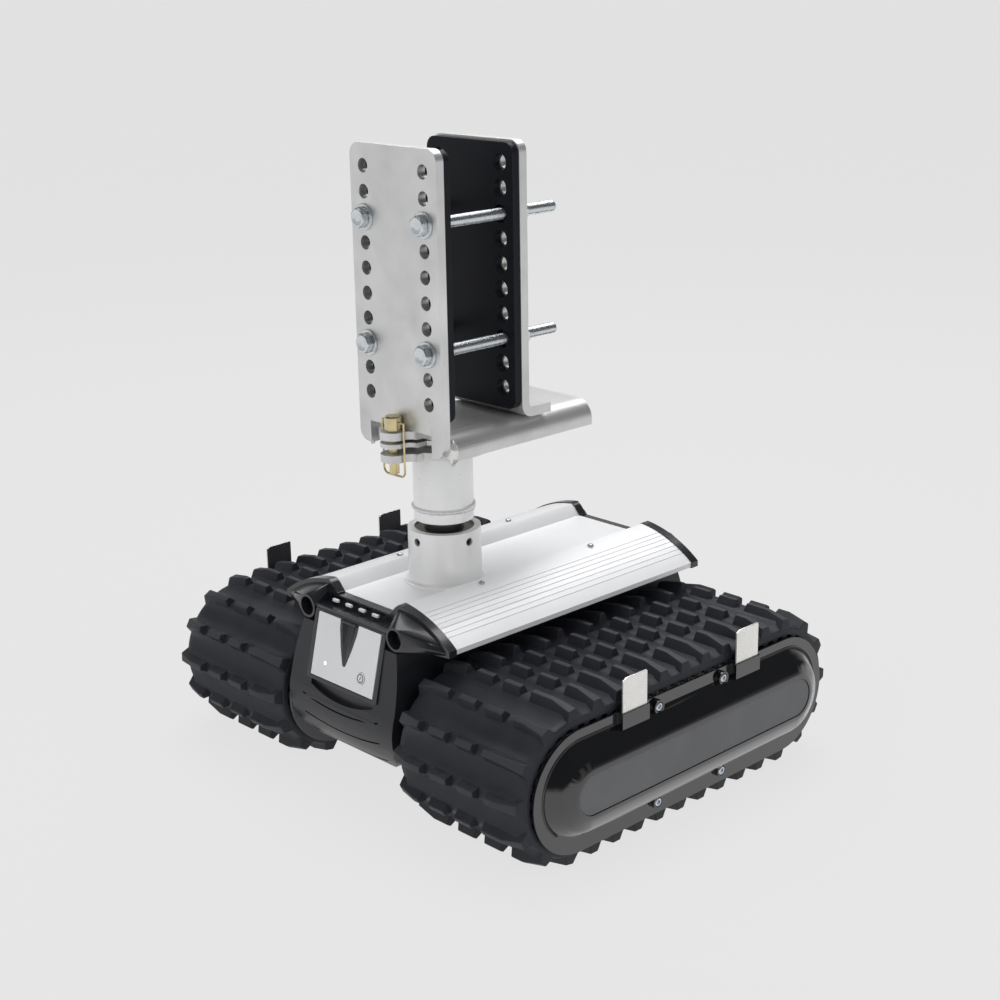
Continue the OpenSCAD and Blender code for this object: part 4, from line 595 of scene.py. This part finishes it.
def buildTreadTree():
    tree, sockets, given, out = newTree("treadAlongLoop", {
        "Carcass": "Geometry", "Loop Path": "Object", "Lug Rows": "Int", "Teeth": "Int", "Even Row": "Object",
        "Odd Row": "Object", "Tooth": "Object", "Finish": "Material"})
    path = node(tree, "GeometryNodeObjectInfo", Object=given["Loop Path"])
    join = node(tree, "GeometryNodeJoinGeometry", given["Carcass"])
    odd = mathNode(tree, "MODULO", node(tree, "GeometryNodeInputIndex").outputs[0], 2.0)
    even = mathNode(tree, "SUBTRACT", 1.0, odd)
    for label, number, chosen in (("Even Row", "Lug Rows", even), ("Odd Row", "Lug Rows", odd),
                                  ("Tooth", "Teeth", None)):
        spaced = node(tree, "GeometryNodeResampleCurve", Curve=path.outputs["Geometry"], Count=given[number])
        turned = node(tree, "FunctionNodeAlignRotationToVector", axis="Y", pivot_axis="X",
                      Vector=node(tree, "GeometryNodeInputTangent").outputs[0])
        shape = node(tree, "GeometryNodeObjectInfo", Object=given[label])
        placed = node(tree, "GeometryNodeInstanceOnPoints", Points=spaced.outputs["Curve"], Selection=chosen,
                      Instance=shape.outputs["Geometry"], Rotation=turned.outputs["Rotation"])
        feed(tree, join, placed.outputs[0])
    closeTree(tree, given, out, join.outputs[0])
    return tree, sockets


def runTree(piece, tree, sockets, values):
    grown = piece.modifiers.new(tree.name, "NODES")
    grown.node_group = tree
    for label, value in values.items():
        grown[sockets[label]] = value
    return settle(piece)


treadTree, treadSockets = buildTreadTree()
for side in ("right", "left"):
    guide = makeLoopPath(side + "LoopPath")
    rows = makeLugRow(side, 0), makeLugRow(side, 1)
    tooth = makeTooth(side)
    belt = makeCarcass(side)
    smoothByAngle(belt, 44)
    runTree(belt, treadTree, treadSockets,
            {"Loop Path": guide, "Lug Rows": tread["lugRows"], "Teeth": tread["teeth"], "Even Row": rows[0],
             "Odd Row": rows[1], "Tooth": tooth, "Finish": finishes["tread_rubber"]})
    for used in (guide, tooth, *rows):
        bpy.data.objects.remove(used)
    finishPiece(belt, "chassis", "tread_rubber", side + "_track_belt")
    print(side, "belt:", len(belt.data.polygons), "faces")


# fasteners: one turned template each, set out on its pattern of points
def turnedShape(name, levels, slot, sides=36, through=False):
    # levels run (along, radius, hexed) up the axis +Z; hexed ones are kept inside the hexagon's flats
    points = []
    for along, radius, hexed in levels:
        for k in range(sides):
            a = 2 * math.pi * k / sides
            r = radius
            if hexed:
                r = min(radius, hexed / 2 / math.cos((a % (math.pi / 3)) - math.pi / 6))
            points.append((r * math.cos(a), r * math.sin(a), along))
    return softenEdges(addPiece(name, points, tubeFaces(len(levels), sides, through), slot))


def threadLevels(start, end, outer, pitch):
    # ridges of a thread between a plain start and a chamfered end
    levels, root = [], outer - 0.55 * pitch
    count = int((end - start - 2.0) / pitch)
    for i in range(count):
        z = start + i * pitch
        levels += [(z, root, 0), (z + 0.42 * pitch, outer, 0), (z + 0.58 * pitch, outer, 0)]
    return levels + [(start + count * pitch, root, 0), (end - 1.2, root + 0.2, 0), (end, root - 1.0, 0)]


def buildPatternTree():
    tree, sockets, given, out = newTree("fastenersOnPoints", {
        "Points": "Geometry", "Fastener": "Object", "Spin": "Float", "Seed": "Int", "Tilt": "Rotation",
        "Finish": "Material"})
    shape = node(tree, "GeometryNodeObjectInfo", Object=given["Fastener"])
    spin = node(tree, "FunctionNodeRandomValue", None, None, None, given["Spin"], data_type="FLOAT",
                Seed=given["Seed"])
    turn = node(tree, "FunctionNodeAxisAngleToRotation", Axis=(0, 0, 1), Angle=spin.outputs[1])
    both = node(tree, "FunctionNodeRotateRotation", given["Tilt"], turn.outputs[0], rotation_space="LOCAL")
    placed = node(tree, "GeometryNodeInstanceOnPoints", Points=given["Points"], Instance=shape.outputs["Geometry"],
                  Rotation=both.outputs[0])
    closeTree(tree, given, out, placed.outputs[0])
    return tree, sockets


patternTree, patternSockets = buildPatternTree()


def setOut(name, template, places, tilt, spin, seed, slot, body, nodeName):
    piece = addPiece(name, places, [], slot)
    runTree(piece, patternTree, patternSockets,
            {"Fastener": template, "Spin": spin, "Seed": seed, "Tilt": tilt, "Finish": finishes[slot]})
    bpy.data.objects.remove(template)
    return finishPiece(piece, body, slot, nodeName)


clampBolt = {"head": 7.5, "flats": 18.0, "shank": 177.0, "thread": 12.0, "pitch": 1.75, "plain": 22.0,
             "columns": (-43.6, 43.6), "rows": (582.4, 457.4), "seat": -130.0}
clampNut = {"flange": 2.5, "flangeRadius": 12.0, "height": 10.8, "flats": 18.0, "bore": 6.05, "seat": -8.8}
washer = {"radius": 13.0, "bore": 6.3, "thickness": 2.5}
upY = (math.radians(-90), 0, 0)


def makeClampBolts(bolt, spots):
    flats, outer, head, plain = bolt["flats"], bolt["thread"] / 2, bolt["head"], bolt["plain"]
    half, corner = flats / 2, flats / 2 / math.cos(math.pi / 6)
    levels = [(-head + 1.5, outer - 2.5, 0), (-head + 1.1, outer - 1.6, 0), (-head + 0.3, half - 1.9, 0),
              (-head, half - 1.2, 0), (-head, half - 0.7, 0), (-head + 0.5, half + 0.35, flats),
              (-head + 1.3, corner, flats), (-0.6, corner, flats), (-0.3, half - 0.2, 0), (0, half - 0.2, 0),
              (0, outer - 0.05, 0), (plain, outer - 0.05, 0)]
    levels += threadLevels(plain + 0.6, bolt["shank"], outer, bolt["pitch"])
    template = turnedShape("clampBolt", levels, "bolt_zinc", sides=24)
    setOut("clampBolts", template, spots, upY, 0.6, 4, "bolt_zinc", "mast", "clamp_bolts")


def makeClampNuts(nut, spots):
    flats, half, bore, f, r = nut["flats"], nut["flats"] / 2, nut["bore"], nut["flange"], nut["flangeRadius"]
    corner, top = half / math.cos(math.pi / 6), f + nut["height"]
    levels = [(0.3, bore, 0), (0, bore + 0.4, 0), (0, r - 0.5, 0), (0.4, r, 0), (f - 0.9, r, 0), (f, r - 1.6, 0),
              (f + 0.2, corner, flats), (top - 1.4, corner, flats), (top - 0.4, half + 0.3, flats),
              (top, half - 0.8, 0), (top, bore + 0.9, 0), (top - 0.9, bore, 0)]
    template = turnedShape("clampNut", levels, "bolt_zinc", through=True)
    setOut("clampNuts", template, spots, upY, 0.8, 9, "bolt_zinc", "jaw", "clamp_nuts")


def makeWashers(ring, spots):
    r, t, bore = ring["radius"], ring["thickness"], ring["bore"]
    levels = [(0, bore, 0), (0, r - 0.5, 0), (0.4, r, 0), (t - 0.4, r, 0), (t, r - 0.5, 0), (t, bore, 0)]
    template = turnedShape("boltWasher", levels, "bolt_zinc", through=True)
    setOut("boltWashers", template, spots, upY, 1.0, 2, "bolt_zinc", "mast", "bolt_washers")


def clampSpots(seat):
    return [(x, seat, z) for x in clampBolt["columns"] for z in clampBolt["rows"]]


coverScrew = {"head": 4.0, "headRadius": 4.5, "socket": 4.3, "shankRadius": 2.5, "shank": 9.5, "seatX": 272.0,
              "alongY": 48.4, "offZ": 50.5}
deckScrew = {"head": 2.0, "headRadius": 3.5, "socket": 2.6, "shankRadius": 2.0, "shank": 14.0, "x": 63.5, "y": 80.5,
             "z": 216.07}
straightHead = ((0.82, 1.0), (0.8, 0.96), (1.0, 0.88))
domedHead = ((0.45, 1.0), (0.8, 0.8), (1.0, 0.62))


def makeSocketScrew(name, spec, rounding):
    r, h, s, shank = spec["headRadius"], spec["head"], spec["socket"], spec["shankRadius"]
    levels = [(-spec["shank"], shank - 0.4, 0), (-spec["shank"] + 0.5, shank, 0), (0, shank, 0), (0, r - 0.15, 0),
              (0.3, r, 0), *((h * up, r * out, 0) for up, out in rounding), (h, s / 2 + 0.35, 0),
              (h - 0.2, s * 0.58, s), (h * 0.45, s * 0.57, s), (h * 0.38, 0.4, 0)]
    return turnedShape(name, levels, "screw_zinc", sides=24)


def makeScrews():
    spec, axle = coverScrew, tread["axleHeight"]
    for side, sign, seed in (("right", 1, 3), ("left", -1, 7)):
        spots = [(sign * spec["seatX"], y, axle + z)
                 for y in (-spec["alongY"], spec["alongY"]) for z in (-spec["offZ"], spec["offZ"])]
        setOut(side + "CoverScrews", makeSocketScrew(side + "Screw", spec, straightHead), spots,
               (0, sign * math.radians(90), 0), 1.0, seed, "screw_zinc", "chassis", side + "_cover_screws")
    spec = deckScrew
    spots = [(x, y, spec["z"]) for x in (-spec["x"], spec["x"]) for y in (-spec["y"], spec["y"])]
    setOut("deckScrews", makeSocketScrew("deckScrew", spec, domedHead), spots, (0, 0, 0), 1.0, 5, "screw_zinc",
           "chassis", "deck_screws")


makeClampBolts(clampBolt, clampSpots(clampBolt["seat"]))
makeClampNuts(clampNut, clampSpots(clampNut["seat"]))
makeWashers(washer, clampSpots(clampBolt["seat"]))
makeScrews()
print("fasteners set out")


# welds of the mast: an uneven bead round the tube's foot, a lump where the plate meets each channel edge
weldRing = {"radius": 30.9, "height": 284.5, "bead": 2.3, "axisY": -72.5, "smear": 0.9, "smearAt": 35.0,
            "waves": ((46, 0.16, 0.0), (5, 0.1, 1.3), (13, 0.07, 0.0)), "around": 276, "sides": 8}
weldLump = {"place": (61.0, -113.2, 359.5), "radii": (6.2, 5.6, 12.5), "rough": 0.07, "rows": 14, "sides": 24}


def makeWeldRing(spec):
    points, sides = [], spec["sides"]
    for i in range(spec["around"]):
        a = 2 * math.pi * i / spec["around"]
        swell = 1 + sum(height * math.sin(count * a + phase) for count, height, phase in spec["waves"])
        near = max(0.0, math.cos(a - math.radians(spec["smearAt"]))) ** 6
        smear = spec["smear"] * near * (1 + 0.3 * math.sin(23 * a))
        for k in range(sides):
            b, r = 2 * math.pi * k / sides, spec["bead"] * swell
            out = spec["radius"] + r * math.cos(b)
            points.append((out * math.cos(a), spec["axisY"] + out * math.sin(a),
                           spec["height"] + (0.85 + smear) * r * math.sin(b)))
    piece = addPiece("mastFootWeld", points, tubeFaces(spec["around"], sides, True), "mast_zinc")
    finishPiece(softenEdges(piece), "mast", "mast_zinc")


def makeWeldLump(side, sign, spec):
    points, rows, sides = [], spec["rows"] + 1, spec["sides"]
    for i in range(rows):
        for k in range(sides):
            a, b = 2 * math.pi * k / sides, math.pi * (i + 0.5) / rows - math.pi / 2
            swell = 1 + spec["rough"] * (math.sin(5 * a + 3 * i) + math.sin(9 * b + 2 * a))
            aim = (math.cos(a) * math.cos(b), math.sin(a) * math.cos(b), math.sin(b))
            points.append(tuple(c * s + swell * r * d
                                for c, s, r, d in zip(spec["place"], (sign, 1, 1), spec["radii"], aim)))
    piece = addPiece(side + "ChannelWeld", points, tubeFaces(rows, sides), "clamp_zinc", "tab_nickel")
    finishPiece(softenEdges(piece), "mast", "clamp_zinc")


makeWeldRing(weldRing)
for side, sign in (("right", 1), ("left", -1)):
    makeWeldLump(side, sign, weldLump)
print("welds laid")


# bare plaque in the flat of each side cover
plaque = {"radius": 20.1, "halfRun": 153.075, "inner": 287.9, "outer": 288.75, "softness": 0.35, "steps": 32}


def makePlaque(side, sign, spec):
    outline = []
    for end in (1, -1):
        for k in range(spec["steps"] + 1):
            a = math.radians(-90 * end + 180 * k / spec["steps"])
            outline.append((end * spec["halfRun"] + spec["radius"] * math.cos(a), spec["radius"] * math.sin(a)))
    points = [(sign * x, y, z + tread["axleHeight"]) for x in (spec["inner"], spec["outer"]) for y, z in outline]
    piece = addPiece(side + "CoverPlaque", points, tubeFaces(2, len(outline)), "frame_grey", "plaque_grey")
    finishPiece(softenEdges(piece, spec["softness"]), "chassis", "frame_grey")


# glossy bead, and a shadow line painted as a black strip where the groove's shade falls, round each end of the side
# cover's flange: (radius, x) round each section
coverTrims = {"Bead": ("cover_gloss", ((51.9, 271.3), (51.7, 272.0), (51.1, 272.35), (50.5, 272.0), (50.3, 271.3))),
              "ShadowLine": ("printAndShadowBlack", ((50.2, 271.3), (50.2, 271.6), (48.3, 271.6), (48.3, 271.3)))}
trimRun = {"runIn": 45.0, "lowest": -50.0, "steps": 48}


def makeCoverTrim(side, sign, label, finish, section, run):
    for end, where in ((1, "Rear"), (-1, "Front")):
        turns = [90.0 - (90.0 - run["lowest"]) * k / run["steps"] for k in range(run["steps"] + 1)]
        path = [(end * (plaque["halfRun"] - run["runIn"]), 90.0)]
        path += [(end * plaque["halfRun"], degrees) for degrees in turns]
        points = []
        for y, degrees in path:
            a = math.radians(degrees)
            points += [(sign * x, y + end * r * math.cos(a), tread["axleHeight"] + r * math.sin(a))
                       for r, x in section]
        piece = addPiece(side + where + label, points, tubeFaces(len(path), len(section)), "cover_gloss", finish)
        finishPiece(softenEdges(piece), "chassis", "cover_gloss")


for side, sign in (("right", 1), ("left", -1)):
    makePlaque(side, sign, plaque)
    for label, (finish, section) in coverTrims.items():
        makeCoverTrim(side, sign, label, finish, section, trimRun)


# the pale deck end that shows through the caps' vents
ventSlat = {"count": 4, "pitch": 20.7, "shift": -6.0, "halfWidth": 4.3, "front": -190.7, "back": -188.0, "low": 199.3,
            "high": 201.9}


def makeVentSlats(spec):
    points, faces = [], []
    front, back, low, high = (spec[k] for k in ("front", "back", "low", "high"))
    for end in (1, -1):
        for i in range(spec["count"]):
            mid = (i - (spec["count"] - 1) / 2) * spec["pitch"] + spec["shift"]
            faces += shifted(boxFaces, len(points))
            points += [(end * (mid + u * spec["halfWidth"]), end * y, z) for u in (-1, 1)
                       for y, z in ((front, low), (back, low), (back, high), (front, high))]
    finishPiece(addPiece("ventSlats", points, faces, "deck_aluminium"), "chassis", "deck_aluminium")


makeVentSlats(ventSlat)


# control panel: glossy bezel round it, and the printed ring and bar on the button
panelPlace = {"topY": -201.0, "topZ": 192.0, "tilt": -13.4, "button": (28.5, -52.0), "buttonFace": -2.2}
bezel = {"inner": (49.0, -1.0, -68.6, 0.4), "outer": (55.0, 0.6, -72.5, 3.0), "back": 0.8, "front": -0.7,
         "softness": 0.5}
powerMark = {"radius": 4.65, "line": 1.0, "barHalf": 2.0, "barWidth": 0.95, "proud": 0.06, "sunk": 0.1, "lean": 12.0,
             "sides": 40}


def onPanel(x, y, z):
    p, a = panelPlace, math.radians(panelPlace["tilt"])
    return (x, p["topY"] + y * math.cos(a) - z * math.sin(a), p["topZ"] + y * math.sin(a) + z * math.cos(a))


def roundedRing(halfWidth, top, low, corner):
    ring = []
    for cx, cz, start in ((halfWidth - corner, top - corner, 0), (-halfWidth + corner, top - corner, 90),
                          (-halfWidth + corner, low + corner, 180), (halfWidth - corner, low + corner, 270)):
        turns = [math.radians(start + 15 * k) for k in range(7)]
        ring += [(cx + corner * math.cos(a), cz + corner * math.sin(a)) for a in turns]
    return ring


def makeBezel(spec):
    inner, outer = roundedRing(*spec["inner"]), roundedRing(*spec["outer"])
    loops = [(outer, spec["back"]), (outer, spec["front"]), (inner, spec["front"]), (inner, spec["back"])]
    points = [onPanel(x, y, z) for loop, y in loops for x, z in loop]
    piece = addPiece("panelBezel", points, tubeFaces(len(loops), len(inner), True), "cap_black")
    finishPiece(softenEdges(piece, spec["softness"]), "chassis", "cap_black")


def makePowerMark(spec):
    bx, bz = panelPlace["button"]
    front, back = panelPlace["buttonFace"] - spec["proud"], panelPlace["buttonFace"] + spec["sunk"]
    outer, inner = spec["radius"], spec["radius"] - spec["line"]
    turns = [2 * math.pi * k / spec["sides"] for k in range(spec["sides"])]
    points = [onPanel(bx + r * math.cos(a), y, bz + r * math.sin(a))
              for r, y in ((outer, back), (outer, front), (inner, front), (inner, back)) for a in turns]
    faces = tubeFaces(4, spec["sides"], True) + shifted(boxFaces, len(points))
    lean = math.radians(spec["lean"])
    for y in (front, back):
        for u, v in ((-1, -1), (1, -1), (1, 1), (-1, 1)):
            x, z = u * spec["barWidth"] / 2, v * spec["barHalf"]
            points.append(onPanel(bx + x * math.cos(lean) + z * math.sin(lean), y,
                                  bz - x * math.sin(lean) + z * math.cos(lean)))
    finishPiece(addPiece("powerMark", points, faces, "button_grey", "printAndShadowBlack"), "button", "button_grey")


makeBezel(bezel)
makePowerMark(powerMark)
print("panel and plaques dressed")


# studio: pale floor, soft lamps and an even surround; in reflections only, a dark ceiling and right-hand wall
studio = {"background": (0.784, 0.784, 0.784, 1.0), "floor": (0.74, 0.74, 0.74, 1.0), "reach": 60.0, "even": 0.93,
          "surround": 0.5, "ceiling": 0.06, "ceilingZ": (0.36, 0.56), "wallZ": (0.02, 0.14), "wallX": (-0.1, 0.25),
          "lamps": [("overheadSoftbox", (-0.5, 0.7, 2.3), 2.0, 46.0), ("frontSoftbox", (0.2, -2.3, 1.7), 2.8, 32.0),
                    ("rightSoftbox", (2.3, 0.3, 1.5), 2.0, 22.0)], "reflected": "overheadSoftbox", "aim": (0, 0, 0.25)}


def addFloor(spec):
    mesh, r = bpy.data.meshes.new("studioFloor"), spec["reach"]
    mesh.from_pydata([(-r, -r, 0), (r, -r, 0), (r, r, 0), (-r, r, 0)], [], [(0, 1, 2, 3)])
    floor = newObject("studioFloor", mesh)
    material = bpy.data.materials.new("studioFloor")
    material.use_nodes = True
    tree = material.node_tree
    skin = feed(tree, tree.nodes["Principled BSDF"], Roughness=0.9,
                **{"Base Color": spec["floor"], "Specular IOR Level": 0.0})
    glow = node(tree, "ShaderNodeEmission", Color=spec["background"], Strength=1.0)
    ray = node(tree, "ShaderNodeLightPath").outputs
    seen = mathNode(tree, "MAXIMUM", mathNode(tree, "MAXIMUM", ray["Is Camera Ray"], ray["Is Glossy Ray"]),
                    ray["Is Transmission Ray"])
    blend = node(tree, "ShaderNodeMixShader", mathNode(tree, "MULTIPLY", seen, spec["even"]), skin.outputs[0],
                 glow.outputs[0])
    feed(tree, tree.nodes["Material Output"], Surface=blend.outputs[0])
    mesh.materials.append(material)


def addLamps(spec):
    for label, place, size, power in spec["lamps"]:
        light = bpy.data.lights.new(label, "AREA")
        light.size = size
        light.energy = power
        lamp = newObject(label, light)
        lamp.location = place
        lamp.visible_glossy = label == spec["reflected"]
        lamp.rotation_mode = "QUATERNION"
        lamp.rotation_quaternion = (Vector(place) - Vector(spec["aim"])).to_track_quat("Z", "Y")


def addWorld(spec):
    world = bpy.data.worlds.new("studio")
    scene.world = world
    world.use_nodes = True
    tree = world.node_tree
    shown = node(tree, "ShaderNodeBackground", Color=spec["background"], Strength=1.0)
    ray = node(tree, "ShaderNodeLightPath").outputs
    aim = node(tree, "ShaderNodeSeparateXYZ", node(tree, "ShaderNodeTexCoord").outputs["Generated"]).outputs
    wall = mathNode(tree, "MULTIPLY", rangeNode(tree, aim["Z"], *spec["wallZ"]),
                    rangeNode(tree, aim["X"], *spec["wallX"]))
    dark = mathNode(tree, "MAXIMUM", wall, rangeNode(tree, aim["Z"], *spec["ceilingZ"]))
    dark = mathNode(tree, "MULTIPLY", dark, ray["Is Glossy Ray"])
    shade = rangeNode(tree, dark, 0.0, 1.0, spec["surround"], spec["ceiling"])
    lit = feed(tree, tree.nodes["Background"], Color=shade)
    blend = node(tree, "ShaderNodeMixShader", ray["Is Camera Ray"], lit.outputs[0], shown.outputs[0])
    feed(tree, tree.nodes["World Output"], Surface=blend.outputs[0])


addFloor(studio)
addLamps(studio)
addWorld(studio)
scene.view_settings.view_transform = "Standard"
print("studio ready")
